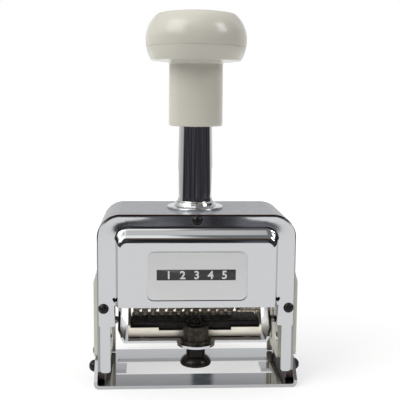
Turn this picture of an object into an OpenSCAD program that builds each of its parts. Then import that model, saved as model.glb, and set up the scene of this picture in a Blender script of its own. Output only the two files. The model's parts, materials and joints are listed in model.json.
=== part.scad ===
// Automatic numbering machine: a hand stamp with a stack of type wheels, a swinging ink pad and
// a sprung push knob. Millimetres. X runs to the right, -Y to the front and +Z up. The origin is
// the middle of the footprint, on the paper.
//
// Pressing the knob lowers the carriage by the stroke. Two follower pins on the pad bracket ride
// in curved slots in fixed cam plates, which swings the pad forward and clear of the type.

/* [Base bracket] */
// Sheet thickness of the base bracket
base_t = 1.4; // [1.0:0.1:2.0]
// Front-to-back depth of the base bracket
base_depth = 44; // [42:0.5:50]
// Height of the two upturned ears
ear_h = 10; // [8.5:0.5:13]
// Width of each ear along its top edge
ear_top_w = 27; // [24:0.5:34]
// Outer bend radius between the floor and the ears
bend_r = 2.2; // [1.8:0.1:3.0]
// Distance from the housing's side to the end of the print window
window_end = 6.6; // [5:0.1:7]
// Depth of the print window
window_d = 18.6; // [16:0.2:22]
// Width of the line-up tabs at the window's ends
tab_w = 8.6; // [6:0.2:12]
// How far each line-up tab reaches into the window
tab_reach = 4.1; // [2:0.1:4.4]
// Height of the ear screws above the paper
ear_screw_z = 5.4; // [5:0.1:6]
// Spacing of the two ear screws on one side
ear_screw_pitch = 19.4; // [16:0.2:20]

/* [Housing] */
// Depth of the housing casting without its covers
housing_depth = 38; // [37:0.5:42]
// Height of the housing above the base floor
housing_h = 68; // [67:0.5:72]
// Thickness of the side walls
wall_t = 2.6; // [2.2:0.1:3.2]
// Thickness of the top wall
top_t = 3; // [2.5:0.1:3.5]
// Outside radius of the two top corners
corner_r = 9.2; // [6:0.2:12]
// Radius of the lower corners of the side walls
foot_r = 4; // [2:0.5:6]
// Length of each cover screw boss
boss_len = 6.5; // [4:0.5:7]
// Radius of each cover screw boss
boss_r = 3; // [2.4:0.1:3.4]

/* [Covers] */
// Sheet thickness of the front and rear covers
cover_t = 1; // [0.7:0.1:1.4]
// Gap that the cover edge leaves inside the housing edge
cover_inset = 0.6; // [0.2:0.1:1.5]
// How far the emboss stands out of the cover
emboss_out = 3.4; // [2:0.1:5]
// Distance from the housing's side to the foot of the emboss
emboss_end = 7.2; // [6:0.1:8]
// Height of the emboss's open lower edge
emboss_bottom = 33.4; // [31:0.2:36]
// Height of the emboss's foot line at the top
emboss_top = 64.3; // [62:0.1:65]
// Height where the flat face of the emboss begins
emboss_face_top = 58; // [55:0.5:61]
// How much narrower the face is than the foot, on each side
emboss_side = 1.3; // [0.5:0.1:3]
// Corner radius of the emboss's face
emboss_r = 6; // [3:0.5:9]
// Height of the shoulders where the front legs begin
shoulder_z = 25; // [22:0.5:28]
// Height of the lower ends of the front legs
leg_bottom = 6; // [4:0.5:10]
// Distance from the housing's side to the inside of the cover's cheeks, above the shoulders
cheek_end = 7; // [6.5:0.1:7.5]
// Distance from the housing's side to the inside of the front legs
leg_end = 5.1; // [4:0.1:6]
// Corner radius of the front legs
leg_r = 1.4; // [0.5:0.1:1.8]
// Height of the two side screws of each cover
side_screw_z = 32.2; // [30:0.2:34]
// Head radius of the cover screws
cover_head_r = 2.1; // [1.8:0.1:2.3]
// Thread radius of the cover screws
cover_thread_r = 1.25; // [1:0.05:1.5]
// Width of the number plate
plate_w = 38.2; // [30:0.2:46]
// Height of the number plate
plate_h = 18.9; // [14:0.1:20]
// Height of the number plate's middle
plate_z = 45.95; // [44:0.05:47]
// Thickness of the number plate, which lies flush in the cover
plate_t = 0.4; // [0.3:0.05:0.6]
// Thickness of the plastic side covers
side_t = 1.7; // [1.2:0.1:2.5]
// Height of the lower edge of the side covers
side_bottom = 11; // [10.5:0.5:14]
// Height of the upper edge of the side covers
side_top = 46.8; // [42:0.2:52]
// Height of the bevel along the top of the side covers
side_bevel = 5; // [3:0.5:8]
// Front-to-back width of the side covers
side_w = 32; // [26:0.5:34]

/* [Guide tube and knob] */
// Overall height at rest
overall_h = 148.4; // [146:0.2:158]
// Rod radius
rod_r = 3.9; // [3.5:0.1:4.1]
// Outer radius of the guide tube near its foot
tube_foot_r = 7.33; // [7:0.05:7.6]
// Outer radius of the guide tube at its upper end
tube_tip_r = 6.5; // [6.4:0.05:6.9]
// Bore of the guide tube round the spring
spring_bore_r = 5.6; // [5.5:0.05:5.8]
// Radius of the guide tube's foot flange
flange_r = 11.4; // [10.5:0.1:13]
// Length of the rod guide at the foot of the tube
guide_len = 9.2; // [7:0.1:11]
// Radius of the threaded shank below the flange
shank_r = 6; // [5.5:0.1:6.4]
// Thickness of the shank nut
nut_h = 2.8; // [2:0.1:3.2]
// Largest radius of the knob
knob_r = 20.3; // [18:0.1:24]
// Height of the knob, from its underside to its crown
knob_h = 19.4; // [18:0.2:24]
// Length of the sleeve below the knob
skirt_len = 26; // [22:0.5:28]
// Outer radius of the sleeve below the knob
skirt_r = 10.8; // [9.5:0.1:12]
// Bore of the sleeve over the guide tube
skirt_bore_r = 8; // [7.9:0.05:8.6]
// Thickness of the knob cap above the spring seat
cap_t = 11.4; // [9:0.2:13]

/* [Carriage and type wheels] */
// Number of type wheels
wheel_count = 12; // [12]
// Distance from one type wheel to the next
wheel_pitch = 3.5; // [3.4:0.05:3.8]
// Room along the axle for the selector hub, to the right of the last type wheel
hub_room = 8.8; // [7:0.1:10]
// Outer radius of the type wheels
wheel_r = 11; // [10.5:0.1:11.4]
// Height of the wheel axle above the paper at rest
axle_h = 35; // [34.5:0.1:35.5]
// Axle radius
axle_r = 2.2; // [1.8:0.1:2.5]
// Room between the carriage and the housing wall, for the cam plates and the pad bracket
side_room = 7.2; // [7:0.1:7.5]
// Depth of the carriage
carriage_d = 18; // [16:0.5:20]
// Sheet thickness of the carriage
carriage_t = 1.6; // [1.2:0.1:1.8]
// Thickness of the rubber stop washer
stop_t = 1.5; // [1:0.1:2]
// Distance of the pawl shaft behind the axle
pawl_back = 13; // [12.5:0.1:13.5]
// Height of the pawl shaft above the axle
pawl_up = 9; // [8:0.1:10]

/* [Ink pad frame] */
// Sheet thickness of the pad bracket
bracket_t = 1; // [0.8:0.1:1.2]
// Gap between the carriage and the bracket's arms
arm_gap = 1.2; // [1:0.1:1.4]
// Front edge of the bracket's floor, ahead of the axle
bracket_front = 14.3; // [13:0.1:15]
// Rear edge of the bracket's floor, behind the axle
bracket_rear = 7.5; // [7:0.1:8]
// Distance of the follower pins from the axle
follower_arm = 12; // [11:0.1:13]
// Radius of the follower pins
follower_r = 1.5; // [1.2:0.1:1.7]
// Angle through which the pad swings over the whole stroke
pad_swing = 90; // [85:1:92]
// Thickness of the cam plates
cam_t = 1.5; // [1.2:0.1:1.8]
// Sheet thickness of the pad tray
tray_t = 0.8; // [0.6:0.1:1]
// Front face of the pad tray, ahead of the axle
tray_front = 9.9; // [9.5:0.1:10.1]
// Rear face of the pad tray, behind the axle
tray_rear = 7.4; // [6.8:0.1:7.8]
// Height of the tray's walls
tray_h = 3.8; // [3:0.1:4.5]
// Depth of the lowered middle of the tray's front wall
tray_notch = 1.2; // [0.6:0.1:1.8]
// Half length of that lowered middle
tray_notch_half_w = 14.8; // [12:0.2:20]
// Thickness of the felt pad
pad_t = 5.4; // [5:0.1:5.6]

/* [Pad latch] */
// Distance of the latch ahead of the axle
latch_y = 15.2; // [15.1:0.1:15.4]
// Radius of the bracket's round lobe under the latch
lobe_r = 7.7; // [7:0.1:7.8]
// Outer radius of the latch sleeve
sleeve_r = 5.1; // [4.8:0.1:5.1]
// Height of the latch sleeve
sleeve_h = 6.8; // [6.5:0.1:7]
// Largest radius of the latch knob
latch_knob_r = 6.3; // [5:0.1:6.4]
// Length of the latch knob
latch_knob_h = 8.5; // [7:0.1:9]
// How far the latch pulls down
latch_travel = 2.5; // [2:0.1:2.6]

/* [Repeat selector] */
// Radius of the selector dial
dial_r = 8; // [6:0.5:10]
// Height of the selector dial's middle
dial_z = 26; // [24:0.5:30]
// Thickness of the selector dial
dial_t = 1.1; // [0.9:0.1:1.2]

/* [Clearances] */
// Gap between parts that move past each other
run_gap = 0.3; // [0.25:0.01:0.35]
// Radial clearance of a shaft in its bore
fit_gap = 0.06; // [0.04:0.01:0.09]
// Gap round parts that are fixed to each other
seat_gap = 0.05; // [0.03:0.01:0.08]

/* [Hidden] */
$fn = 64;
hull_fn = 32;
eps = 0.01;

chrome = [0.80, 0.81, 0.83];
cast_chrome = [0.70, 0.71, 0.73];
cream = [0.87, 0.86, 0.80];
black_steel = [0.12, 0.12, 0.13];
dark_steel = [0.30, 0.29, 0.26];
steel = [0.62, 0.63, 0.65];
nickel = [0.84, 0.82, 0.76];
brass_tone = [0.72, 0.66, 0.48];
ink = [0.06, 0.05, 0.06];

// Heights that follow from the stack of parts
top_z = base_t + housing_h;
shank_bottom = top_z - top_t - nut_h - 0.8;
guide_top = shank_bottom + guide_len;
yoke_top = shank_bottom - run_gap - stop_t;
stroke = axle_h - wheel_r;
seat_z = overall_h - cap_t;
tube_top = seat_z - stroke - 1;
knob_bottom = overall_h - knob_h;
skirt_bottom = knob_bottom - skirt_len;
rod_top = seat_z + cap_t / 2;

// Widths from the type wheels out to the housing walls, measured from the middle
tray_ear_t = 0.9;
wheel_end_gap = 1;
ratchet_w = 0.7;
type_w = wheel_pitch - ratchet_w - run_gap;
stack_w = wheel_count * wheel_pitch;
stack_left = -(stack_w + hub_room) / 2;
stack_right = stack_left + stack_w;
tray_half_w = wheel_end_gap + tray_ear_t - stack_left;
carriage_in = tray_half_w + run_gap;
carriage_out = carriage_in + carriage_t;
carriage_w = 2 * carriage_out;
arm_in = carriage_out + arm_gap;
arm_out = arm_in + bracket_t;
wall_in = carriage_out + side_room;
cam_in = wall_in - cam_t;
housing_w = 2 * (wall_in + wall_t);

// Widths of the openings in the base and the covers
window_w = housing_w - 2 * window_end;
emboss_half_w = housing_w / 2 - emboss_end;
cheek_half_w = housing_w / 2 - cheek_end;
leg_half_w = housing_w / 2 - leg_end;

// Depths of the covers
plate_y = housing_depth / 2;
cover_y = plate_y + cover_t;
face_y = cover_y + emboss_out;
side_screw_x = housing_w / 2 - 2.5;
top_screw_z = top_z - 2.2;
ear_out = housing_w / 2 + base_t;

// Heights in the ink pad frame
pad_top = axle_h - wheel_r - run_gap;
pad_bottom = pad_top - pad_t;
tray_bottom = pad_bottom - tray_t;
tray_foot = 0.3;
bracket_top = tray_bottom - tray_foot;
bracket_bottom = bracket_top - bracket_t;
sleeve_top = bracket_top + sleeve_h;
sleeve_wall = 0.7;
keeper_t = 0.6;
keeper_bottom = sleeve_top + run_gap;
latch_shaft_r = 1.7;
collar_t = 0.8;
collar_bottom = sleeve_top - sleeve_wall - run_gap - collar_t;
latch_knob_top = bracket_bottom - run_gap;
latch_knob_bottom = latch_knob_top - latch_knob_h;

// Screw sizes
ear_head_r = 2.4;
ear_head_h = 2.9;
ear_rim_h = 1.1;
ear_thread_r = 1.5;
cover_head_h = 1.2;

wheel_nodes = [for (n = [1:wheel_count]) str("number_wheel_", n)];

// ---------------------------------------------------------------------------------------------
// Shared shapes

// Extrudes an X-Z outline along Y, centred
module along_y(length) {
    rotate([90, 0, 0])
        linear_extrude(length, center = true)
            children();
}

// Extrudes a Y-Z outline along +X from x = 0
module along_x(length) {
    rotate([90, 0, 90])
        linear_extrude(length)
            children();
}

// Rectangle with four round corners, centred
module rounded_rect(w, h, r) {
    square([w - 2 * r, h], center = true);
    square([w, h - 2 * r], center = true);
    for (sx = [-1, 1], sy = [-1, 1])
        translate([sx * (w / 2 - r), sy * (h / 2 - r)])
            circle(r);
}

// Outline centred on X that stands on y = bottom and has round top corners
module round_top(w, bottom, top, r) {
    translate([-w / 2, bottom])
        square([w, top - r - bottom]);
    translate([-(w / 2 - r), bottom])
        square([w - 2 * r, top - bottom]);
    for (s = [-1, 1])
        translate([s * (w / 2 - r), top - r])
            circle(r);
}

// Outline centred on X that hangs from y = top and has round bottom corners
module round_bottom(w, bottom, top, r) {
    mirror([0, 1])
        round_top(w, -top, -bottom, r);
}

// Screw with a domed head above a straight rim, and a cross recess. The seat is z = 0 and the
// head points up.
module dome_screw(head_r, head_h, rim_h, shank_r, shank_len) {
    dome_h = head_h - rim_h;
    dome_r = (head_r * head_r + dome_h * dome_h) / (2 * dome_h);
    slot = [head_r * 1.1, head_r * 0.28, head_h];
    difference() {
        intersection() {
            translate([0, 0, head_h - dome_r])
                sphere(dome_r);
            cylinder(h = head_h, r = head_r);
        }
        for (a = [0, 90])
            rotate([0, 0, a])
                translate([0, 0, head_h])
                    cube(slot, center = true);
    }
    translate([0, 0, -shank_len])
        cylinder(h = shank_len, r = shank_r);
}

// Compression spring standing on z = bottom: a round wire swept along a helix
module coil(mean_r, wire_r, bottom, length, turns, steps = 12, sides = 6) {
    rings = turns * steps;
    rise = length - 2 * wire_r;
    points = [
        for (i = [0:rings], j = [0:sides - 1])
            let (a = i * 360 / steps, b = j * 360 / sides, r = mean_r + wire_r * cos(b))
                [r * cos(a), r * sin(a), bottom + wire_r + rise * i / rings + wire_r * sin(b)]
    ];
    walls = [
        for (i = [0:rings - 1], j = [0:sides - 1])
            let (p = i * sides + j, q = i * sides + (j + 1) % sides)
                [p, p + sides, q + sides, q]
    ];
    first = [for (j = [0:sides - 1]) j];
    last = [for (j = [sides - 1:-1:0]) rings * sides + j];
    polyhedron(points, concat(walls, [first, last]));
}

// ---------------------------------------------------------------------------------------------
// Base and housing

module base_bracket() {
    ear_low = 3;
    half_d = base_depth / 2;
    color(chrome)
        difference() {
            intersection() {
                along_y(base_depth)
                    difference() {
                        round_bottom(2 * ear_out, 0, ear_h, bend_r);
                        round_bottom(2 * ear_out - 2 * base_t, base_t, ear_h + 1, bend_r - base_t);
                    }
                translate([-ear_out - 1, 0, 0])
                    along_x(2 * ear_out + 2)
                        polygon([
                            [-half_d, -1], [half_d, -1], [half_d, ear_low],
                            [ear_top_w / 2, ear_h + 1], [-ear_top_w / 2, ear_h + 1],
                            [-half_d, ear_low]
                        ]);
            }
            translate([0, 0, -1])
                linear_extrude(base_t + 2)
                    difference() {
                        rounded_rect(window_w, window_d, 0.8);
                        for (s = [-1, 1])
                            translate([s * window_w / 2, 0])
                                square([2 * tab_reach, tab_w], center = true);
                    }
            for (y = [-0.5, 0.5])
                translate([-ear_out - 1, y * ear_screw_pitch, ear_screw_z])
                    rotate([0, 90, 0])
                        cylinder(h = 2 * ear_out + 2, r = ear_thread_r + seat_gap);
        }
}

module base_screws() {
    color(black_steel)
        for (s = [-1, 1], y = [-0.5, 0.5])
            translate([s * ear_out, y * ear_screw_pitch, ear_screw_z])
                rotate([0, s * 90, 0])
                    dome_screw(ear_head_r, ear_head_h, ear_rim_h, ear_thread_r, base_t + wall_t - 0.2);
}

module housing_outline() {
    round_top(housing_w, base_t, top_z, corner_r);
}

module housing_frame() {
    heel = bend_r - base_t + 0.2;
    color(cast_chrome)
        difference() {
            union() {
                intersection() {
                    along_y(housing_depth)
                        difference() {
                            housing_outline();
                            round_top(2 * wall_in, -1, top_z - top_t, corner_r - wall_t);
                            for (s = [-1, 1])
                                translate([s * housing_w / 2, base_t])
                                    rotate(45)
                                        square(heel * sqrt(2), center = true);
                        }
                    translate([-housing_w, 0, 0])
                        along_x(2 * housing_w)
                            round_bottom(housing_depth, base_t, top_z + 1, foot_r);
                }
                intersection() {
                    along_y(housing_depth)
                        housing_outline();
                    for (side = [0, 180])
                        rotate([0, 0, side])
                            translate([0, -plate_y, 0]) {
                                for (s = [-1, 1])
                                    translate([s * side_screw_x, 0, side_screw_z])
                                        rotate([-90, 0, 0])
                                            cylinder(h = boss_len, r = boss_r);
                                translate([0, 0, top_screw_z])
                                    rotate([-90, 0, 0])
                                        cylinder(h = boss_len, r = boss_r);
                            }
                }
            }
            for (side = [0, 180])
                rotate([0, 0, side])
                    translate([0, -plate_y, 0])
                        cover_holes(cover_thread_r + seat_gap, boss_len);
            translate([0, 0, top_z - top_t - 1])
                cylinder(h = top_t + 2, r = shank_r + seat_gap);
            for (y = [-0.5, 0.5])
                translate([-housing_w, y * ear_screw_pitch, ear_screw_z])
                    rotate([0, 90, 0])
                        cylinder(h = 2 * housing_w, r = ear_thread_r + seat_gap);
            translate([wall_in - 1, 0, dial_z])
                rotate([0, 90, 0])
                    cylinder(h = wall_t + 2, r = spindle_r + fit_gap);
            for (s = [-1, 1])
                cam_rivet_places(s)
                    translate([0, 0, -wall_t - 1])
                        cylinder(h = wall_t + cam_t + 1, r = rivet_r + seat_gap);
        }
}

// The three screw holes of one cover, drilled backwards from y = 0
module cover_holes(r, depth) {
    for (s = [-1, 0, 1])
        translate([s * side_screw_x, -1, s == 0 ? top_screw_z : side_screw_z])
            rotate([-90, 0, 0])
                cylinder(h = depth + 1, r = r);
}

module guide_tube() {
    foot_z = top_z + 5.6;
    color(chrome)
        rotate_extrude()
            polygon([
                [rod_r + fit_gap, shank_bottom], [shank_r, shank_bottom], [shank_r, top_z],
                [flange_r, top_z], [flange_r, top_z + 0.6], [flange_r - 0.8, top_z + 0.7],
                [flange_r - 1, top_z + 1], [tube_foot_r + 0.8, top_z + 2.5],
                [tube_foot_r + 0.25, top_z + 3.6], [tube_foot_r, foot_z],
                [tube_tip_r + 0.05, tube_top - 0.6], [tube_tip_r - 0.35, tube_top],
                [spring_bore_r, tube_top], [spring_bore_r, guide_top],
                [rod_r + fit_gap, guide_top]
            ]);
}

module tube_nut() {
    color(steel)
        translate([0, 0, top_z - top_t - nut_h])
            difference() {
                cylinder(h = nut_h, r = shank_r + 3, $fn = 6);
                translate([0, 0, -1])
                    cylinder(h = nut_h + 2, r = shank_r + seat_gap);
            }
}

// ---------------------------------------------------------------------------------------------
// Covers

// Sheet outline of a cover. The front cover has two legs, the rear cover stops at the shoulders.
module cover_outline(legs) {
    w = housing_w - 2 * cover_inset;
    difference() {
        round_top(w, shoulder_z, top_z - cover_inset, corner_r - cover_inset);
        translate([-cheek_half_w, shoulder_z - 1])
            square([2 * cheek_half_w, emboss_bottom - shoulder_z + 1]);
    }
    if (legs)
        for (s = [-1, 1])
            translate([s * (w / 4 + leg_half_w / 2 - 0.25), (leg_bottom + shoulder_z + 3) / 2])
                rounded_rect(w / 2 - leg_half_w - 0.5, shoulder_z + 3 - leg_bottom, leg_r);
}

// The pressed emboss, as a solid. Its roof and sides follow a quarter ellipse.
module emboss(inset, back) {
    steps = 6;
    hull() {
        for (i = [-1:steps])
            let (a = 90 * max(i, 0) / steps)
                translate([0, -(cover_y + (i < 0 ? -back : (emboss_out - inset) * sin(a))), 0])
                    along_y(eps)
                        round_top(
                            2 * (emboss_half_w - emboss_side * (1 - cos(a)) - inset),
                            emboss_bottom - (inset > 0 ? 1 : 0),
                            emboss_face_top + (emboss_top - emboss_face_top) * cos(a) - inset,
                            emboss_r * (1 + 0.5 * cos(a)) - inset,
                            $fn = hull_fn
                        );
    }
}

module cover(legs) {
    difference() {
        union() {
            translate([0, -plate_y - cover_t / 2, 0])
                along_y(cover_t)
                    cover_outline(legs);
            emboss(0, 0);
        }
        emboss(cover_t, cover_t + eps);
        translate([0, -cover_y, 0])
            cover_holes(cover_thread_r + seat_gap, cover_t + 1);
        for (s = [-1, 1])
            translate([s * (emboss_half_w + 0.5), -plate_y, emboss_bottom + 2.4])
                rotate([90, s * 25, 0])
                    linear_extrude(3, center = true)
                        upright_slot(1.6, 0.6);
        if (legs)
            translate([0, -face_y + plate_t / 2, plate_z])
                along_y(plate_t + 2 * eps)
                    rounded_rect(plate_w + 2 * seat_gap, plate_h + 2 * seat_gap, 2.6);
    }
}

// Slot with round ends, standing upright
module upright_slot(length, r) {
    square([2 * r, length - 2 * r], center = true);
    for (s = [-1, 1])
        translate([0, s * (length / 2 - r)])
            circle(r);
}

module front_cover() {
    color(chrome)
        cover(true);
}

module rear_cover() {
    color(chrome)
        rotate([0, 0, 180])
            cover(false);
}

module cover_screws() {
    for (s = [-1, 0, 1])
        translate([s * side_screw_x, -cover_y, s == 0 ? top_screw_z : side_screw_z])
            rotate([90, 0, 0])
                dome_screw(cover_head_r, cover_head_h, 0, cover_thread_r, cover_t + boss_len - 1);
}

module front_cover_screws() {
    color(black_steel)
        cover_screws();
}

module rear_cover_screws() {
    color(black_steel)
        rotate([0, 0, 180])
            cover_screws();
}

module number_plate() {
    color([0.86, 0.86, 0.85])
        translate([0, -face_y + plate_t / 2, plate_z])
            along_y(plate_t)
                rounded_rect(plate_w, plate_h, 2.6);
}

// Side cover on the +X side
module side_cover(bore_r) {
    x0 = housing_w / 2;
    difference() {
        intersection() {
            along_y(side_w)
                polygon([
                    [x0, side_bottom], [x0 + side_t, side_bottom],
                    [x0 + side_t, side_top - side_bevel], [x0 + 0.3, side_top], [x0, side_top]
                ]);
            translate([x0 - 1, 0, (side_top + side_bottom) / 2])
                along_x(side_t + 2)
                    rounded_rect(side_w, side_top - side_bottom, 2);
        }
        if (bore_r > 0)
            translate([x0 - 1, 0, dial_z])
                rotate([0, 90, 0])
                    cylinder(h = side_t + 2, r = bore_r);
    }
}

module side_cover_left() {
    color(cream)
        mirror([1, 0, 0])
            side_cover(0);
}

module side_cover_right() {
    color(cream)
        side_cover(spindle_r + fit_gap);
}

// ---------------------------------------------------------------------------------------------
// Cam plates that swing the ink pad

rivet_r = cam_t * 0.8;
cam_rivets = [
    [-follower_arm * 0.28, axle_h - stroke * 0.83],
    [-follower_arm * 0.28, axle_h + stroke * 0.2],
    [follower_arm * 1.18, axle_h + stroke * 0.3]
];
slot_half_w = follower_r + run_gap;

// Place of a follower pin when the stroke is the share t of its whole, as [y, z]
function follower_at(t) = [
    follower_arm * sin(pad_swing * t),
    axle_h - stroke * t + follower_arm * cos(pad_swing * t)
];

// Unit normal of the follower's path at t
function path_normal(t) =
    let (d = follower_at(t + 0.001) - follower_at(t - 0.001), len = norm(d))
        [-d[1] / len, d[0] / len];

module cam_slot() {
    steps = 24;
    polygon(concat(
        [for (i = [0:steps]) follower_at(i / steps) + slot_half_w * path_normal(i / steps)],
        [for (i = [steps:-1:0]) follower_at(i / steps) - slot_half_w * path_normal(i / steps)]
    ));
    for (t = [0, 1])
        translate(follower_at(t))
            circle(slot_half_w);
}

// Moves its children to the rivets on one side, with +Z pointing to the middle of the machine
module cam_rivet_places(s) {
    for (p = cam_rivets)
        translate([s * wall_in, p[0], p[1]])
            rotate([0, -s * 90, 0])
                children();
}

// Cam plate on the +X side, cut away round the rear screw boss
module cam_plate() {
    boss_front = plate_y - boss_len - run_gap;
    margin = follower_arm * 0.3;
    front = -slot_half_w - margin;
    rear = follower_arm + slot_half_w + margin;
    low = follower_at(1)[1] - slot_half_w - margin;
    high = follower_at(0)[1] + slot_half_w + margin;
    translate([cam_in, 0, 0])
        along_x(cam_t)
            difference() {
                translate([(front + rear) / 2, (low + high) / 2])
                    rounded_rect(rear - front, high - low, 2 * cam_t);
                cam_slot();
                translate([boss_front, side_screw_z - boss_r - run_gap])
                    square([rear, 2 * boss_r + 2 * run_gap]);
                for (p = cam_rivets)
                    translate(p)
                        circle(rivet_r + seat_gap);
            }
}

module cam_plate_left() {
    color(steel)
        mirror([1, 0, 0])
            cam_plate();
}

module cam_plate_right() {
    color(steel)
        cam_plate();
}

module cam_plate_rivets() {
    color(steel)
        for (s = [-1, 1])
            cam_rivet_places(s) {
                translate([0, 0, -wall_t + 0.2])
                    cylinder(h = wall_t + cam_t - 0.2, r = rivet_r);
                translate([0, 0, cam_t])
                    cylinder(h = cam_t / 2, r1 = rivet_r + 0.9, r2 = rivet_r + 0.4, $fn = 48);
            }
}

// ---------------------------------------------------------------------------------------------
// Plunger

module return_spring() {
    color(steel)
        coil((rod_r + spring_bore_r) / 2, 0.45, guide_top + seat_gap,
            seat_z - guide_top - 2 * seat_gap, 18);
}

// Points of the knob's side between two heights: one arc above its widest line, one below
function knob_side(z0, z1, steps) = [
    for (i = [0:steps])
        let (
            z = z0 + (z1 - z0) * i / steps,
            h = z - widest_z,
            r = h > 0 ? knob_r * 0.644 : knob_r * 0.777
        )
            [knob_r - r + sqrt(r * r - h * h), z]
];
widest_z = knob_bottom + knob_h * 0.423;
seam_z = knob_bottom + knob_h * 0.284;

module knob_cap() {
    crown_drop = 2;
    shoulder = knob_side(seam_z + 0.3, overall_h - crown_drop, 18);
    edge = shoulder[18][0];
    color(cream)
        rotate_extrude()
            polygon(concat(
                [[rod_r + seat_gap, seat_z], [skirt_bore_r, seat_z], [skirt_bore_r, seam_z]],
                [[knob_side(seam_z, seam_z + 1, 1)[0][0] - 0.1, seam_z]],
                shoulder,
                [for (c = [[0.8, 0.6], [2.4, 0.38], [4.5, 0.22]])
                    [edge - c[0], overall_h - crown_drop * c[1]]],
                [[edge / 2, overall_h - 0.12], [0, overall_h]],
                [[0, rod_top + 0.2], [rod_r + seat_gap, rod_top + 0.2]]
            ));
}

module knob_sleeve() {
    skirt_side = knob_side(knob_bottom + 1, seam_z - 0.4, 10);
    color(cream)
        rotate_extrude()
            polygon(concat(
                [[skirt_bore_r, skirt_bottom + 0.4], [skirt_bore_r + 0.4, skirt_bottom]],
                [[skirt_r - 0.4, skirt_bottom], [skirt_r + 0.1, skirt_bottom + 0.9]],
                [[skirt_r, knob_bottom - 1.2], [skirt_r + 0.5, knob_bottom - 0.3]],
                [[skirt_side[0][0] - 1.6, knob_bottom], [skirt_side[0][0] - 0.6, knob_bottom + 0.3]],
                skirt_side,
                [[skirt_side[10][0] - 0.6, seam_z], [skirt_bore_r, seam_z]]
            ));
}

yoke_bottom = yoke_top - carriage_t;
rod_shank_r = rod_r * 0.64;
rod_nut_h = rod_shank_r * 0.96;
spacer_r = axle_r + 1.2;

module plunger_rod() {
    color(steel) {
        translate([0, 0, yoke_top])
            cylinder(h = rod_top - yoke_top, r = rod_r);
        translate([0, 0, yoke_bottom - rod_nut_h - 0.8])
            cylinder(h = carriage_t + rod_nut_h + 0.8, r = rod_shank_r);
    }
}

module rod_nut() {
    color(steel)
        translate([0, 0, yoke_bottom - rod_nut_h])
            difference() {
                cylinder(h = rod_nut_h, r = 5, $fn = 6);
                translate([0, 0, -1])
                    cylinder(h = rod_nut_h + 2, r = rod_shank_r + seat_gap);
            }
}

module stop_washer() {
    color(black_steel)
        translate([0, 0, yoke_top])
            difference() {
                cylinder(h = stop_t, r = shank_r + 1.5);
                translate([0, 0, -1])
                    cylinder(h = stop_t + 2, r = rod_r + seat_gap);
            }
}

// Y-Z outline of the carriage's side plates, with a rear lobe that holds the pawl shaft
module carriage_side_outline() {
    lobe = 4;
    translate([-carriage_d / 2, axle_h])
        square([carriage_d, yoke_top - axle_h + 1]);
    translate([0, axle_h])
        circle(carriage_d / 2 - 1);
    translate([-carriage_d / 2, axle_h - 2])
        square([carriage_d, 4]);
    translate([0, axle_h + pawl_up - lobe])
        square([pawl_back, 2 * lobe]);
    translate([pawl_back, axle_h + pawl_up])
        circle(lobe);
}

bar_y = carriage_d * 0.445;
bar_d = carriage_d / 3;
bar_z = axle_h + wheel_r * 1.51;
bar_h = yoke_bottom - rod_nut_h - 0.8 - bar_z - 2 * run_gap;
hub_r = wheel_r * 0.545;
sight_r = 3.2;

module carriage() {
    color(chrome)
        difference() {
            intersection() {
                along_y(2 * (pawl_back + 6))
                    difference() {
                        round_top(carriage_w, 0, yoke_top, 3);
                        round_top(2 * carriage_in, -1, yoke_bottom, 3 - carriage_t);
                    }
                translate([-carriage_out - 1, 0, 0])
                    along_x(carriage_w + 2)
                        carriage_side_outline();
            }
            translate([0, 0, yoke_bottom - 1])
                cylinder(h = carriage_t + 2, r = rod_shank_r + seat_gap);
            translate([-carriage_out - 1, 0, axle_h])
                rotate([0, 90, 0])
                    cylinder(h = carriage_w + 2, r = axle_r + seat_gap);
            translate([-carriage_out - 1, pawl_back, axle_h + pawl_up])
                rotate([0, 90, 0])
                    cylinder(h = carriage_w + 2, r = pawl_shaft_r + seat_gap);
            translate([-carriage_out - 1, -carriage_d / 5, axle_h + wheel_r + 2])
                rotate([0, 90, 0])
                    cylinder(h = carriage_w + 2, r = sight_r);
        }
}

module wheel_axle() {
    axle_len = 2 * (arm_out + 1.6);
    color(steel)
        translate([-axle_len / 2, 0, axle_h])
            rotate([0, 90, 0])
                cylinder(h = axle_len, r = axle_r);
}

// Washer on the axle between two places along X
module axle_ring(start, end, r) {
    translate([start, 0, axle_h])
        rotate([0, 90, 0])
            difference() {
                cylinder(h = end - start, r = r);
                translate([0, 0, -1])
                    cylinder(h = end - start + 2, r = axle_r + seat_gap);
            }
}

// Spacers inside the pad bracket's arms, retaining washers outside them, and one more spacer
// between the left side plate and the first wheel
module axle_washers() {
    color(steel) {
        for (s = [0, 1])
            mirror([s, 0, 0]) {
                axle_ring(carriage_out, arm_in - run_gap, spacer_r);
                axle_ring(arm_out + run_gap, arm_out + run_gap + 0.7, spacer_r + 0.4);
            }
        axle_ring(-carriage_in, stack_left - run_gap / 2, spacer_r);
    }
}

// Fixed hub that fills the axle between the last wheel and the right side plate
module selector_hub() {
    start = stack_right + 0.4;
    end = tray_half_w - tray_ear_t - run_gap;
    color(dark_steel)
        translate([0, 0, axle_h])
            rotate([0, 90, 0])
                difference() {
                    union() {
                        translate([0, 0, start])
                            cylinder(h = end - start, r = hub_r);
                        translate([0, 0, start])
                            cylinder(h = carriage_in - start, r = spacer_r);
                        translate([0, 0, start + (end - start) * 0.06])
                            linear_extrude((end - start) * 0.15)
                                for (a = [0:36:324])
                                    rotate(a)
                                        scale(wheel_r)
                                            polygon([[0, 0], [0.84, -0.15], [0.87, 0.04], [0.73, 0.31]]);
                        translate([0, 0, end - (end - start) * 0.22])
                            cylinder(h = (end - start) * 0.13, r = hub_r * 1.33);
                    }
                    translate([0, 0, start - 1])
                        cylinder(h = carriage_in - start + 2, r = axle_r + seat_gap);
                }
}

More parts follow.
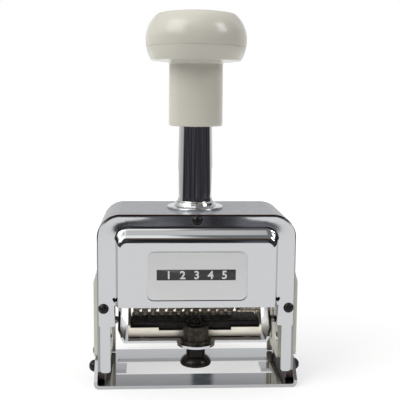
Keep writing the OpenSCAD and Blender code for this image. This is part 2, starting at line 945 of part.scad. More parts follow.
// Cross bar that carries the detent springs
module detent_bar() {
    color(steel)
        translate([-carriage_in, bar_y - bar_d / 2, bar_z])
            cube([2 * carriage_in, bar_d, bar_h]);
}

// Comb of leaf springs, one above each wheel, cut from one strip
module detent_springs() {
    strip_t = 0.5;
    leaf_w = wheel_pitch / 2;
    tip_z = wheel_r + 2 * run_gap;
    drop = bar_z - axle_h - tip_z - strip_t;
    lean = atan2(drop, bar_y - bar_d / 2);
    leaf_len = (bar_y - bar_d / 2) / cos(lean);
    color(steel) {
        translate([stack_left, bar_y - bar_d / 2, bar_z - strip_t])
            cube([stack_right - stack_left, bar_d, strip_t]);
        for (n = [0:wheel_count - 1])
            translate([stack_left + (n + 0.5) * wheel_pitch - leaf_w / 2,
                bar_y - bar_d / 2 + 0.4, bar_z - strip_t])
                rotate([lean, 0, 0])
                    translate([0, -leaf_len, 0])
                        cube([leaf_w, leaf_len, 0.4]);
    }
}

pawl_shaft_r = 1.5;

module pawl_shaft() {
    color(steel)
        translate([-carriage_out, pawl_back, axle_h + pawl_up])
            rotate([0, 90, 0])
                cylinder(h = carriage_w, r = pawl_shaft_r);
}

ratchet_r = 8.6;

// Tube on the pawl shaft with one finger that reaches to each wheel's ratchet
module pawl_rocker() {
    tube_r = 2.6;
    finger_w = 0.4;
    reach = norm([pawl_back, pawl_up]) - ratchet_r - run_gap;
    lean = atan2(pawl_up, pawl_back);
    span = 2 * carriage_in - 0.8;
    color(brass_tone)
        translate([0, pawl_back, axle_h + pawl_up])
            difference() {
                union() {
                    translate([-span / 2, 0, 0])
                        rotate([0, 90, 0])
                            cylinder(h = span, r = tube_r);
                    for (n = [0:wheel_count - 1])
                        translate([stack_left + n * wheel_pitch + run_gap / 2 + type_w
                            + (ratchet_w - finger_w) / 2, 0, 0])
                            rotate([lean, 0, 0])
                                along_x(finger_w)
                                    polygon([[-reach, 0.3], [-reach, -0.9], [0, -2.2], [0, 2]]);
                }
                translate([-span / 2 - 1, 0, 0])
                    rotate([0, 90, 0])
                        cylinder(h = span + 2, r = pawl_shaft_r + fit_gap);
            }
}

// Type wheel with ten type blocks and a ten-tooth ratchet on its right side
module number_wheel(n) {
    core_r = wheel_r - 1.7;
    block_half = wheel_r * 0.19;
    flat_r = sqrt(wheel_r * wheel_r - block_half * block_half);
    color(n % 2 == 0 ? steel : nickel)
        translate([stack_left + (n - 1) * wheel_pitch + run_gap / 2, 0, axle_h])
            difference() {
                union() {
                    along_x(type_w) {
                        circle(core_r);
                        for (k = [0:9])
                            rotate(k * 36)
                                polygon([
                                    [-block_half - 0.5, -core_r * 0.93],
                                    [-block_half, -flat_r], [block_half, -flat_r],
                                    [block_half + 0.5, -core_r * 0.93]
                                ]);
                    }
                    along_x(type_w + ratchet_w)
                        for (k = [0:9])
                            rotate(k * 36)
                                polygon([[0, 0], [-1.4, -ratchet_r * 0.98], [-0.2, -ratchet_r * 0.98],
                                    [2.6, -ratchet_r * 0.8]]);
                }
                translate([-1, 0, 0])
                    rotate([0, 90, 0])
                        cylinder(h = type_w + ratchet_w + 2, r = axle_r + fit_gap);
            }
}

// ---------------------------------------------------------------------------------------------
// Ink pad frame

// X-Z band of the bracket: floor, flared corners and upright arms
module bracket_band(height) {
    corner = 2.5;
    rise = 4.6;
    outer = [[arm_out, bracket_bottom + rise], [arm_out, height]];
    inner = [[arm_in, height], [arm_in, bracket_bottom + rise + 0.3]];
    floor_out = [arm_out - corner, bracket_bottom];
    floor_in = [arm_out - corner - 0.5, bracket_top];
    difference() {
        polygon(concat([[-floor_out[0], floor_out[1]], floor_out], outer,
            [for (p = [outer[1], outer[0]]) [-p[0], p[1]]]));
        polygon(concat([floor_in], [inner[1], inner[0] + [0, 1]],
            [for (p = [inner[0] + [0, 1], inner[1], floor_in]) [-p[0], p[1]]]));
    }
}

module bracket_side_outline() {
    waist = 5.5;
    tail = 3.2;
    top = axle_h + follower_arm;
    translate([-bracket_front, bracket_bottom - 1])
        square([bracket_front + bracket_rear, bracket_t + 2.5]);
    polygon([
        [-bracket_front + 1.5, bracket_top + 1.4], [bracket_rear - 0.8, bracket_top + 1.4],
        [waist, axle_h - 8], [-waist, axle_h - 8]
    ]);
    translate([-waist, axle_h - 8.1])
        square([2 * waist, 8.1]);
    translate([0, axle_h])
        circle(waist);
    translate([-tail, axle_h])
        square([2 * tail, follower_arm]);
    translate([0, top])
        circle(tail);
}

module pad_bracket() {
    top = axle_h + follower_arm;
    color(chrome)
        difference() {
            union() {
                intersection() {
                    along_y(2 * (bracket_front + 1))
                        bracket_band(top + 6);
                    translate([-arm_out - 1, 0, 0])
                        along_x(2 * arm_out + 2)
                            bracket_side_outline();
                }
                translate([0, -latch_y, bracket_bottom])
                    cylinder(h = bracket_t, r = lobe_r);
            }
            translate([-arm_out - 1, 0, axle_h])
                rotate([0, 90, 0])
                    cylinder(h = 2 * arm_out + 2, r = axle_r + fit_gap);
            translate([-arm_out - 1, 0, top])
                rotate([0, 90, 0])
                    cylinder(h = 2 * arm_out + 2, r = follower_r + seat_gap);
            translate([0, -latch_y, bracket_bottom - 1])
                cylinder(h = bracket_t + 2, r = latch_shaft_r + fit_gap);
        }
}

module follower_pins() {
    head_t = 0.7;
    color(steel)
        for (s = [-1, 1])
            translate([s * arm_in, 0, axle_h + follower_arm])
                rotate([0, s * 90, 0]) {
                    cylinder(h = wall_in - arm_in - 0.2, r = follower_r);
                    translate([0, 0, -head_t])
                        cylinder(h = head_t, r = follower_r + 0.9);
                    translate([0, 0, bracket_t])
                        cylinder(h = 0.8, r = follower_r + 0.7);
                }
}

module pad_tray() {
    ear_top = axle_h - 5.5;
    inner_half = tray_half_w - tray_ear_t;
    color(nickel)
        difference() {
            union() {
                translate([-tray_half_w, -tray_front, tray_bottom])
                    cube([2 * tray_half_w, tray_front + tray_rear, tray_h]);
                for (s = [0, 1])
                    mirror([s, 0, 0])
                        translate([inner_half, 0, 0])
                            along_x(tray_ear_t)
                                polygon([
                                    [-tray_front, tray_bottom], [tray_rear, tray_bottom],
                                    [tray_rear, tray_bottom + tray_h], [4.5, ear_top],
                                    [-5, ear_top], [-tray_front, tray_bottom + tray_h + 1]
                                ]);
                for (s = [-1, 1], y = [-tray_front + 2.5, tray_rear - 3])
                    translate([s * (tray_half_w - 6), y, bracket_top])
                        cylinder(h = tray_foot + eps, r = 2);
            }
            translate([-inner_half, -tray_front + tray_t, tray_bottom + tray_t])
                cube([2 * inner_half, tray_front + tray_rear - 2 * tray_t, tray_h + 1]);
            translate([-tray_notch_half_w, -tray_front - 1, tray_bottom + tray_h - tray_notch])
                cube([2 * tray_notch_half_w, tray_t + 2, tray_notch + 1]);
        }
}

module ink_pad() {
    half = tray_half_w - tray_ear_t - 0.15;
    front = tray_front - tray_t - keeper_t - 0.1;
    rear = tray_rear - tray_t - 0.1;
    color(ink)
        translate([-half, -front, pad_bottom])
            cube([2 * half, front + rear, pad_t]);
}

module latch_sleeve() {
    bore_r = sleeve_r - 0.7;
    base_h = 1.1;
    color(dark_steel)
        translate([0, -latch_y, bracket_top])
            difference() {
                union() {
                    cylinder(h = sleeve_h, r = sleeve_r);
                    cylinder(h = base_h, r = sleeve_r + 0.9);
                }
                translate([0, 0, -1])
                    cylinder(h = sleeve_h - sleeve_wall + 1, r = bore_r);
                cylinder(h = sleeve_h + 1, r = latch_shaft_r + fit_gap);
                translate([-2 * sleeve_r, latch_y - tray_front - 0.2, -1])
                    cube([4 * sleeve_r, 2 * sleeve_r, sleeve_h + 2]);
            }
}

// Blackened strap inside the tray's front wall that the latch shaft locks
module latch_keeper() {
    half_w = 3.2;
    back = tray_front - tray_t;
    color(black_steel)
        difference() {
            union() {
                translate([-half_w, -back, pad_bottom])
                    cube([2 * half_w, keeper_t, keeper_bottom - pad_bottom + keeper_t]);
                translate([-half_w, -latch_y, keeper_bottom])
                    cube([2 * half_w, latch_y - back + keeper_t, keeper_t]);
                translate([0, -latch_y, keeper_bottom])
                    cylinder(h = keeper_t, r = half_w);
            }
            translate([0, -latch_y, keeper_bottom - 1])
                cylinder(h = keeper_t + 2, r = latch_shaft_r + run_gap);
        }
}

module latch_spring() {
    color(steel)
        translate([0, -latch_y, 0])
            coil(2.9, 0.25, bracket_top + seat_gap, collar_bottom - bracket_top - 2 * seat_gap, 4);
}

module latch_shaft() {
    foot = latch_knob_bottom + 1.6;
    tip = keeper_bottom + keeper_t + 0.7;
    color(black_steel)
        translate([0, -latch_y, 0]) {
            translate([0, 0, foot])
                cylinder(h = tip - foot, r = latch_shaft_r);
            translate([0, 0, collar_bottom])
                cylinder(h = collar_t, r = sleeve_r - 0.7 - run_gap);
        }
}

module latch_knob() {
    h = latch_knob_h;
    r = latch_knob_r;
    neck = r * 0.6;
    flare = [for (i = [0:8]) let (u = i / 8) [neck + (r - neck) * u * (2 - u), h * (0.53 - 0.36 * u)]];
    color(black_steel)
        translate([0, -latch_y, latch_knob_bottom])
            rotate_extrude()
                polygon(concat(
                    [[0, 1.5], [latch_shaft_r + seat_gap, 1.5], [latch_shaft_r + seat_gap, h]],
                    [[neck, h]],
                    flare,
                    [[r - 0.3, h * 0.09], [r - 1.4, 0.3], [r * 0.4, 0], [0, 0]]
                ));
}

// ---------------------------------------------------------------------------------------------
// Repeat selector

spindle_r = 2;
pointer_rise = 0.35;

// Dial with a raised pointer, which points up at rest
module selector_dial() {
    x0 = housing_w / 2 + side_t + run_gap / 2;
    scallops = 18;
    color(black_steel)
        translate([x0, 0, dial_z])
            difference() {
                union() {
                    along_x(dial_t)
                        difference() {
                            circle(dial_r);
                            for (k = [0:scallops - 1])
                                rotate((k + 0.5) * 360 / scallops)
                                    translate([0, dial_r + 0.35])
                                        circle(0.8);
                        }
                    along_x(dial_t + pointer_rise)
                        polygon([[-1.5, -dial_r * 0.6], [1.5, -dial_r * 0.6], [0.5, dial_r * 0.8],
                            [-0.5, dial_r * 0.8]]);
                }
                translate([-1, 0, 0])
                    rotate([0, 90, 0])
                        cylinder(h = 1.8, r = spindle_r + seat_gap);
            }
}

module dial_spindle() {
    start = wall_in + 0.2;
    end = housing_w / 2 + side_t + run_gap / 2 + 0.7;
    color(steel)
        translate([start, 0, dial_z])
            rotate([0, 90, 0])
                cylinder(h = end - start, r = spindle_r);
}

// ---------------------------------------------------------------------------------------------

base_bracket();
base_screws();
housing_frame();
guide_tube();
tube_nut();
front_cover();
rear_cover();
front_cover_screws();
rear_cover_screws();
number_plate();
side_cover_left();
side_cover_right();
cam_plate_left();
cam_plate_right();
cam_plate_rivets();
return_spring();
knob_cap();
knob_sleeve();
plunger_rod();
rod_nut();
stop_washer();
carriage();
wheel_axle();
axle_washers();
selector_hub();
detent_bar();
detent_springs();
pawl_shaft();
pawl_rocker();
pad_bracket();
follower_pins();
pad_tray();
ink_pad();
latch_sleeve();
latch_keeper();
latch_spring();
latch_shaft();
latch_knob();
selector_dial();
dial_spindle();
for (n = [1:wheel_count])
    number_wheel(n);
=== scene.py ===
import json
import math

import bmesh
import bpy
from mathutils import Matrix, Vector, noise


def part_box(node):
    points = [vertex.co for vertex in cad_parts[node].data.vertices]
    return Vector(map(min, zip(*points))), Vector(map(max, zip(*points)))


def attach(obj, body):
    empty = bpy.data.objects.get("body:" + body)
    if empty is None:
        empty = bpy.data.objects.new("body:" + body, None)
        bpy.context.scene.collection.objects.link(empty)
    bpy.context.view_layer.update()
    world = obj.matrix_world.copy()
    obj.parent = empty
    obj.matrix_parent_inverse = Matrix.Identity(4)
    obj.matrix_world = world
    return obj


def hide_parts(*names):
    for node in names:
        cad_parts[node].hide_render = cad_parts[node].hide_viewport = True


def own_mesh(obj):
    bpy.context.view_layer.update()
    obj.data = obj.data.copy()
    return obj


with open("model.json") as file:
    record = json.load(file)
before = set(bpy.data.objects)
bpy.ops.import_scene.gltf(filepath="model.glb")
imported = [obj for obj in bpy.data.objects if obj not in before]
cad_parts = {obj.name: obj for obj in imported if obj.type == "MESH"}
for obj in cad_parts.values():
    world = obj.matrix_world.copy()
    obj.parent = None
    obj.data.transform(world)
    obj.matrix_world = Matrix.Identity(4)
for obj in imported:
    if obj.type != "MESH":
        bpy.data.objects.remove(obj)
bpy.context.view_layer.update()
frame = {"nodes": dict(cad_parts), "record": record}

# Lengths below are in millimetres unless a line says otherwise; MM turns them into metres.
MM = 0.001

# Sizes shared with the frame
HOUSING_HALF_W = 39.0
HOUSING_HALF_D = 19.0
HOUSING_TOP = 69.4
COVER_T = 1.0
COVER_HALF_W = 38.4
COVER_TOP = 68.8
COVER_CORNER_R = 8.6
COVER_FRONT = HOUSING_HALF_D + COVER_T
LEG_INNER = 33.9
LEG_OUTER = 37.9
LEG_BOTTOM = 6.0
EMBOSS_OUT = 3.4
EMBOSS_HALF_W = 31.8
EMBOSS_TOP = 64.3
EMBOSS_BOTTOM = 33.4
FACE = COVER_FRONT + EMBOSS_OUT
SHOULDER_Z = 25.0
PLATE_SIZE = (38.2, 18.9)
PLATE_Z = 45.95
PLATE_T = 0.4
AXLE_Z = 35.0
WHEEL_COUNT = 12
WHEEL_PITCH = 3.5
STACK_LEFT = -25.4
TYPE_W = 2.5
TYPE_START = 0.15
LATCH_Y = -15.2
DIAL_Z = 26.0
KNOB_BOTTOM = 129.0
OVERALL_H = 148.4
GUIDE_TOP = HOUSING_TOP + 2.6


# --------------------------------------
# Mesh helpers

MERGE = 0.0004
WELD = 0.002
FLAT_DEGREES = 0.4
WIRE_SIDES = 10
COIL_STEPS = 28
CLOSED_PITCH = 2.04
FONT_SIZE = 1.38
FIGURE_EDGE = 0.02


def link(name, mesh):
    obj = bpy.data.objects.new(name, mesh)
    bpy.context.scene.collection.objects.link(obj)
    return obj


def mesh_object(name, points, faces, smooth=True):
    """Object from points in millimetres and lists of point numbers."""
    mesh = bpy.data.meshes.new(name)
    mesh.from_pydata([Vector(p) * MM for p in points], [], faces)
    mesh.polygons.foreach_set("use_smooth", [smooth] * len(mesh.polygons))
    mesh.update()
    return link(name, mesh)


def fillet_path(points, closed=False, steps=6):
    """Path through (a, b, radius) corners, each rounded with an arc of its radius."""
    out = []
    count = len(points)
    for i, (a, b, r) in enumerate(points):
        here = Vector((a, b))
        if r <= 0 or (not closed and i in (0, count - 1)):
            out.append(here)
            continue
        back = Vector(points[i - 1][:2]) - here
        ahead = Vector(points[(i + 1) % count][:2]) - here
        turn = math.pi - back.angle(ahead)
        reach = min(r * math.tan(turn / 2), 0.499 * back.length, 0.499 * ahead.length)
        start = here + back.normalized() * reach
        end = here + ahead.normalized() * reach
        for k in range(steps + 1):
            u = k / steps
            out.append(start * (1 - u) ** 2 + here * 2 * u * (1 - u) + end * u ** 2)
    return [(p.x, p.y) for p in out]


def resample(path, count):
    """The same path with count points at even steps along its length."""
    ends = [0.0]
    for p, q in zip(path, path[1:]):
        ends.append(ends[-1] + math.dist(p, q))
    out, k = [], 0
    for i in range(count):
        want = ends[-1] * i / (count - 1)
        while k < len(path) - 2 and ends[k + 1] < want:
            k += 1
        span = ends[k + 1] - ends[k] or 1.0
        u = (want - ends[k]) / span
        out.append(tuple(a + (b - a) * u for a, b in zip(path[k], path[k + 1])))
    return out


def lathe(name, profile, centre=(0.0, 0.0), segments=160):
    """Solid of revolution about a vertical axis from a closed path of (radius, z) points."""
    points, faces = [], []
    for r, z in profile:
        for k in range(segments):
            a = 2 * math.pi * k / segments
            points.append((centre[0] + r * math.cos(a), centre[1] + r * math.sin(a), z))
    for i in range(len(profile)):
        j = (i + 1) % len(profile)
        for k in range(segments):
            n = (k + 1) % segments
            faces.append((i * segments + k, i * segments + n, j * segments + n, j * segments + k))
    obj = mesh_object(name, points, faces)
    clean(obj)
    return obj


def wire(name, path, radius):
    """Round wire along a list of points, closed at both ends."""
    sides = WIRE_SIDES
    points, faces = [], []
    side = None
    for i, here in enumerate(path):
        ahead = (path[min(i + 1, len(path) - 1)] - path[max(i - 1, 0)]).normalized()
        side = (side - ahead * side.dot(ahead)).normalized() if side else ahead.orthogonal().normalized()
        other = ahead.cross(side)
        for k in range(sides):
            a = 2 * math.pi * k / sides
            points.append(here + (side * math.cos(a) + other * math.sin(a)) * radius)
    for i in range(len(path) - 1):
        for k in range(sides):
            n = (k + 1) % sides
            faces.append((i * sides + k, i * sides + n, (i + 1) * sides + n, (i + 1) * sides + k))
    faces += [tuple(range(sides))[::-1], tuple(range(len(points) - sides, len(points)))]
    obj = mesh_object(name, points, faces)
    clean(obj)
    return obj


def coil_path(centre, radius, wire_r, low, high, turns):
    """Centre line of a compression spring between two heights, with one closed turn at each end."""
    closed = CLOSED_PITCH * wire_r
    rise = high - low - 2 * wire_r - 2 * closed
    path = []
    for k in range(turns * COIL_STEPS + 1):
        turn = k / COIL_STEPS
        z = low + wire_r + closed * (min(turn, 1) + max(0, turn - turns + 1))
        z += rise * min(1.0, max(0.0, (turn - 1) / (turns - 2)))
        a = 2 * math.pi * turn
        path.append(Vector((centre[0] + radius * math.cos(a), centre[1] + radius * math.sin(a), z)))
    return path


def clean(obj):
    """Merges doubled points, drops empty faces and turns every normal outwards."""
    bm = bmesh.new()
    bm.from_mesh(obj.data)
    bmesh.ops.remove_doubles(bm, verts=bm.verts, dist=MERGE * MM)
    bmesh.ops.dissolve_degenerate(bm, edges=bm.edges, dist=MERGE * MM)
    bmesh.ops.recalc_face_normals(bm, faces=bm.faces)
    bm.to_mesh(obj.data)
    bm.free()


def prism(name, outline, start, end, place):
    """Solid between two heights over a closed outline of (a, b); place maps (a, b, h) to a point."""
    count = len(outline)
    points = [place(a, b, h) for h in (start, end) for a, b in outline]
    faces = [tuple(range(count))[::-1], tuple(range(count, 2 * count))]
    faces += [(k, (k + 1) % count, count + (k + 1) % count, count + k) for k in range(count)]
    obj = mesh_object(name, points, faces)
    clean(obj)
    return obj


def modifier(obj, kind, **settings):
    made = obj.modifiers.new(kind.lower(), kind)
    for key, value in settings.items():
        setattr(made, key, value)


def soften(obj, width, segments=2, angle=32, weld=False):
    """Rounds the sharp edges of a hard piece and shades its faces flat between them."""
    if weld:
        modifier(obj, "WELD", merge_threshold=WELD * MM)
        modifier(obj, "DECIMATE", decimate_type="DISSOLVE", angle_limit=math.radians(FLAT_DEGREES))
    modifier(obj, "BEVEL", width=width * MM, segments=segments, limit_method="ANGLE",
             angle_limit=math.radians(angle), use_clamp_overlap=True, harden_normals=False)
    modifier(obj, "WEIGHTED_NORMAL", weight=60, keep_sharp=False)


def settle(obj):
    """Puts the result of the modifiers into the mesh."""
    bpy.context.view_layer.update()
    graph = bpy.context.evaluated_depsgraph_get()
    mesh = bpy.data.meshes.new_from_object(obj.evaluated_get(graph), depsgraph=graph)
    old = obj.data
    obj.modifiers.clear()
    obj.data = mesh
    bpy.data.meshes.remove(old)


def cut(obj, cutters):
    """Takes the cutters' shapes out of obj and removes the cutters."""
    for cutter in cutters:
        modifier(obj, "BOOLEAN", operation="DIFFERENCE", object=cutter, solver="EXACT")
    settle(obj)
    for cutter in cutters:
        bpy.data.objects.remove(cutter)


def digit_mesh(text, height, depth, bold=0.0):
    """Mesh of one figure in Blender's own font, centred, its back on z = 0; bold is in millimetres."""
    curve = bpy.data.curves.new("figure", "FONT")
    curve.body = text
    curve.size = height * MM * FONT_SIZE
    curve.align_x = "CENTER"
    curve.align_y = "CENTER"
    curve.extrude = depth * MM / 2
    curve.offset = bold * MM
    curve.bevel_depth = FIGURE_EDGE * MM
    curve.bevel_resolution = 1
    obj = link("figure", curve)
    bpy.context.view_layer.update()
    mesh = bpy.data.meshes.new_from_object(obj)
    bpy.data.objects.remove(obj)
    bpy.data.curves.remove(curve)
    low = [min(v.co[i] for v in mesh.vertices) for i in range(3)]
    high = [max(v.co[i] for v in mesh.vertices) for i in range(3)]
    middle = [(a + b) / 2 for a, b in zip(low, high)]
    mesh.transform(Matrix.Translation((-middle[0], -middle[1], -low[2])))
    return mesh


def stamp_meshes(name, placed):
    """One object from (mesh, matrix) pairs."""
    bm = bmesh.new()
    for mesh, matrix in placed:
        part = mesh.copy()
        part.transform(matrix)
        bm.from_mesh(part)
        bpy.data.meshes.remove(part)
    mesh = bpy.data.meshes.new(name)
    bm.to_mesh(mesh)
    bm.free()
    return link(name, mesh)


# --------------------------------------
# Materials

class Nodes:
    """Short ways to add nodes to one tree and to join them."""

    def __init__(self, tree):
        self.tree = tree

    def node(self, kind, **settings):
        made = self.tree.nodes.new(kind)
        for key, value in settings.items():
            setattr(made, key, value)
        return made

    def link(self, source, target):
        self.tree.links.new(source, target)

    def feed(self, socket, value):
        """Gives a socket a number or a colour, or joins it to an output."""
        if isinstance(value, tuple):
            socket.default_value = (*value, 1.0)
        elif isinstance(value, (int, float)):
            socket.default_value = value
        else:
            self.link(value, socket)

    def math(self, operation, *values):
        made = self.node("ShaderNodeMath", operation=operation)
        for socket, value in zip(made.inputs, values):
            self.feed(socket, value)
        return made.outputs[0]

    def times(self, first, second):
        return self.math("MULTIPLY", first, second)

    def mix(self, share, first, second):
        made = self.node("ShaderNodeMix", data_type="RGBA")
        self.link(share, made.inputs["Factor"])
        self.feed(made.inputs["A"], first)
        self.feed(made.inputs["B"], second)
        return made.outputs["Result"]

    def ramp(self, value, low, high, out_low=0.0, out_high=1.0, **settings):
        made = self.node("ShaderNodeMapRange", clamp=True, **settings)
        made.inputs["From Min"].default_value = low
        made.inputs["From Max"].default_value = high
        made.inputs["To Min"].default_value = out_low
        made.inputs["To Max"].default_value = out_high
        self.link(value, made.inputs["Value"])
        return made.outputs["Result"]


class Look(Nodes):
    """A node material built round one Principled shader."""

    def __init__(self, name, colour, metallic=0.0, roughness=0.3, **sockets):
        self.material = bpy.data.materials.new(name)
        self.material.use_nodes = True
        super().__init__(self.material.node_tree)
        self.shader = self.tree.nodes["Principled BSDF"]
        self.shader.inputs["Base Color"].default_value = (*colour, 1.0)
        self.shader.inputs["Metallic"].default_value = metallic
        self.shader.inputs["Roughness"].default_value = roughness
        for key, value in sockets.items():
            self.shader.inputs[key.replace("_", " ")].default_value = value
        self.place = self.node("ShaderNodeTexCoord").outputs["Object"]
        self.height = None

    def part(self, axis):
        made = self.node("ShaderNodeSeparateXYZ")
        self.link(self.place, made.inputs["Vector"])
        return made.outputs[axis]

    def beside(self, axis):
        """Distance from the middle plane across an axis."""
        return self.math("ABSOLUTE", self.part(axis))

    def noise(self, size, detail=3.0, stretch=(1, 1, 1)):
        """Noise whose features are about size millimetres across, longer where stretch is small."""
        mapping = self.node("ShaderNodeMapping")
        mapping.inputs["Scale"].default_value = stretch
        self.link(self.place, mapping.inputs["Vector"])
        made = self.node("ShaderNodeTexNoise")
        made.inputs["Scale"].default_value = 1 / (size * MM)
        made.inputs["Detail"].default_value = detail
        self.link(mapping.outputs["Vector"], made.inputs["Vector"])
        return made.outputs["Fac"]

    def patches(self, size, low, high, **settings):
        """A value that wanders between low and high in patches of about size millimetres."""
        return self.ramp(self.noise(size, **settings), 0.3, 0.7, low, high)

    def rough(self, value):
        self.link(value, self.shader.inputs["Roughness"])

    def colour(self, value):
        self.link(value, self.shader.inputs["Base Color"])

    def bump(self, value, depth):
        """Adds relief of the given depth in millimetres, over what is there already."""
        made = self.node("ShaderNodeBump")
        made.inputs["Strength"].default_value = 1.0
        made.inputs["Distance"].default_value = depth * MM
        self.link(value, made.inputs["Height"])
        if self.height is not None:
            self.link(self.height, made.inputs["Normal"])
        self.height = made.outputs["Normal"]
        self.link(self.height, self.shader.inputs["Normal"])


def chrome_sheet():
    look = Look("chrome_sheet", (0.60, 0.612, 0.625), metallic=1.0)
    look.rough(look.patches(9, 0.035, 0.06))
    look.bump(look.noise(16, detail=0), 0.012)
    look.bump(look.noise(0.25), 0.0004)
    return look.material


def cover_chrome():
    """Polished outside, with the bare warm grey steel of the sheet's inner side; painted shade makes the
    inner side and cut edge near black above z 62 and the relief slots near black.
    """
    plated = (0.55, 0.56, 0.573)
    look = Look("cover_chrome", plated, metallic=1.0)
    inner = look.ramp(look.beside("Y"), 19.90 * MM, 19.80 * MM)
    # Painted shade: above z 62 the bare tone turns near black, a dark line round the cover's top edge.
    upper = look.ramp(look.part("Z"), 58 * MM, 62 * MM)
    bare = look.mix(upper, (0.25, 0.24, 0.215), (0.05, 0.04, 0.035))
    # Painted shade: the walls and floor of the relief slots are near black, in place of the shade inside an
    # open slot.
    aside = look.beside("X")
    beyond = look.times(look.ramp(aside, 31.4 * MM, 31.5 * MM), inner)
    within = look.times(look.ramp(aside, 33.6 * MM, 33.5 * MM),
                        look.ramp(look.part("Z"), 38.0 * MM, 37.8 * MM))
    slot = look.times(beyond, within)
    look.colour(look.mix(slot, look.mix(inner, plated, bare), (0.012, 0.010, 0.010)))
    look.rough(look.math("ADD", look.patches(9, 0.035, 0.06), look.times(inner, 0.4)))
    look.bump(look.noise(16, detail=0), 0.012)
    look.bump(look.noise(0.25), 0.0004)
    return look.material


def base_chrome():
    """Plating like the covers', with its colour darkened: painted shade on the base."""
    look = Look("base_chrome", (0.445, 0.454, 0.464), metallic=1.0)
    look.rough(look.patches(6, 0.03, 0.06))
    look.bump(look.noise(14, detail=1), 0.010)
    look.bump(look.noise(0.3), 0.0006)
    return look.material


def stained_chrome():
    """Plated sheet that carries a film of old ink and oil, heavier higher up the arms."""
    look = Look("stained_chrome", (0.60, 0.612, 0.625), metallic=1.0)
    blotches = look.ramp(look.noise(1.3, detail=5), 0.35, 0.65, 0.3, 1.3)
    film = look.times(look.ramp(look.part("Z"), 21 * MM, 28 * MM), blotches)
    film = look.ramp(film, 0.0, 1.0)
    look.colour(look.mix(film, (0.58, 0.59, 0.60), (0.20, 0.19, 0.175)))
    look.rough(look.ramp(film, 0.0, 1.0, 0.20, 0.34))
    look.bump(look.noise(2.2), 0.02)
    look.bump(look.noise(0.4), 0.003)
    return look.material


def chrome_turned():
    look = Look("chrome_turned", (0.62, 0.628, 0.64), metallic=1.0)
    look.rough(look.patches(6, 0.03, 0.07, stretch=(1, 1, 0.2)))
    look.bump(look.noise(5, detail=1, stretch=(1, 1, 0.15)), 0.006)
    return look.material


def satin_casting():
    """Satin plating outside, raw and duller inside; painted shade makes it near black below z 6.4, where the
    walls stand in the base, and on its front and back faces above z 58, a dark line round the covers' top.
    """
    plated = (0.345, 0.354, 0.368)
    look = Look("satin_casting", plated, metallic=0.7)
    inside = look.times(look.ramp(look.beside("X"), 36.7 * MM, 36.4 * MM),
                        look.ramp(look.part("Z"), 66.8 * MM, 66.4 * MM))
    # Painted shade: foot (below z 6.4) and rim (front and back faces above z 58, round the covers' top) take
    # the near-black colour below.
    foot = look.ramp(look.part("Z"), 6.4 * MM, 6.0 * MM)
    rim = look.times(look.ramp(look.beside("Y"), 18.80 * MM, 18.84 * MM),
                     look.ramp(look.part("Z"), 58 * MM, 62 * MM))
    tone = look.mix(inside, plated, (0.56, 0.54, 0.47))
    look.link(look.ramp(inside, 0.0, 1.0, 0.7, 0.2), look.shader.inputs["Metallic"])
    look.colour(look.mix(look.math("MAXIMUM", foot, rim), tone, (0.055, 0.036, 0.028)))
    look.rough(look.math("ADD", look.patches(3, 0.30, 0.38), look.times(inside, 0.12)))
    look.bump(look.noise(0.35, detail=4), 0.006)
    return look.material


def nickel_sheet():
    look = Look("nickel_sheet", (0.98, 0.93, 0.81), metallic=1.0)
    look.rough(look.patches(4, 0.34, 0.42))
    look.bump(look.noise(0.3), 0.001)
    return look.material


def plain_steel(name, colour, low, high):
    look = Look(name, colour, metallic=1.0)
    look.rough(look.patches(2.5, low, high, stretch=(0.2, 1, 1)))
    look.bump(look.noise(0.3, stretch=(0.1, 1, 1)), 0.003)
    return look.material


def dark_steel():
    look = Look("dark_steel", (0.06, 0.05, 0.038), metallic=0.6)
    stain = look.ramp(look.noise(1.6), 0.35, 0.65)
    look.colour(look.mix(stain, (0.048, 0.041, 0.030), (0.016, 0.013, 0.010)))
    look.rough(look.patches(1.2, 0.36, 0.52))
    look.bump(look.noise(0.4), 0.006)
    return look.material


def type_metal():
    """Engraved wheels: bare metal inside, brown recesses, bright figures, ink on the lowest block."""
    look = Look("type_metal", (0.55, 0.53, 0.49), metallic=0.8)
    up = look.math("SUBTRACT", look.part("Z"), AXLE_Z * MM)
    squares = look.math("ADD", look.math("POWER", look.part("Y"), 2.0), look.math("POWER", up, 2.0))
    radius = look.math("POWER", squares, 0.5)
    reach = look.math("ADD", radius, look.patches(0.7, -0.12 * MM, 0.12 * MM))
    block_foot = look.ramp(reach, 9.4 * MM, 9.8 * MM)
    block_top = look.ramp(reach, 10.80 * MM, 10.90 * MM)
    recess = look.math("SUBTRACT", block_foot, block_top)
    metal = look.mix(look.ramp(look.noise(1.5), 0.3, 0.7), (0.95, 0.88, 0.74), (0.72, 0.64, 0.52))
    worn = look.mix(look.ramp(recess, 0.0, 1.0), metal, (0.46, 0.39, 0.30))
    wet = look.times(look.ramp(up, -10.6 * MM, -10.8 * MM), look.ramp(radius, 9.0 * MM, 9.6 * MM))
    look.colour(look.mix(wet, worn, (0.012, 0.010, 0.010)))
    look.rough(look.patches(1.1, 0.22, 0.42))
    look.bump(look.noise(0.3), 0.006)
    return look.material


def dull_steel():
    """Plain steel plate, gone dull and warm grey."""
    look = Look("dull_steel", (0.58, 0.555, 0.49), metallic=0.15)
    tone = look.ramp(look.noise(5, stretch=(1, 1, 0.3)), 0.35, 0.65)
    look.colour(look.mix(tone, (0.86, 0.83, 0.73), (0.78, 0.75, 0.66)))
    look.rough(look.patches(2, 0.40, 0.52, stretch=(1, 1, 0.3)))
    look.bump(look.noise(0.3, stretch=(1, 1, 0.1)), 0.003)
    return look.material


def brass():
    look = Look("brass_stock", (0.62, 0.48, 0.24), metallic=1.0)
    look.rough(look.patches(2, 0.22, 0.36))
    look.bump(look.noise(0.3), 0.003)
    return look.material


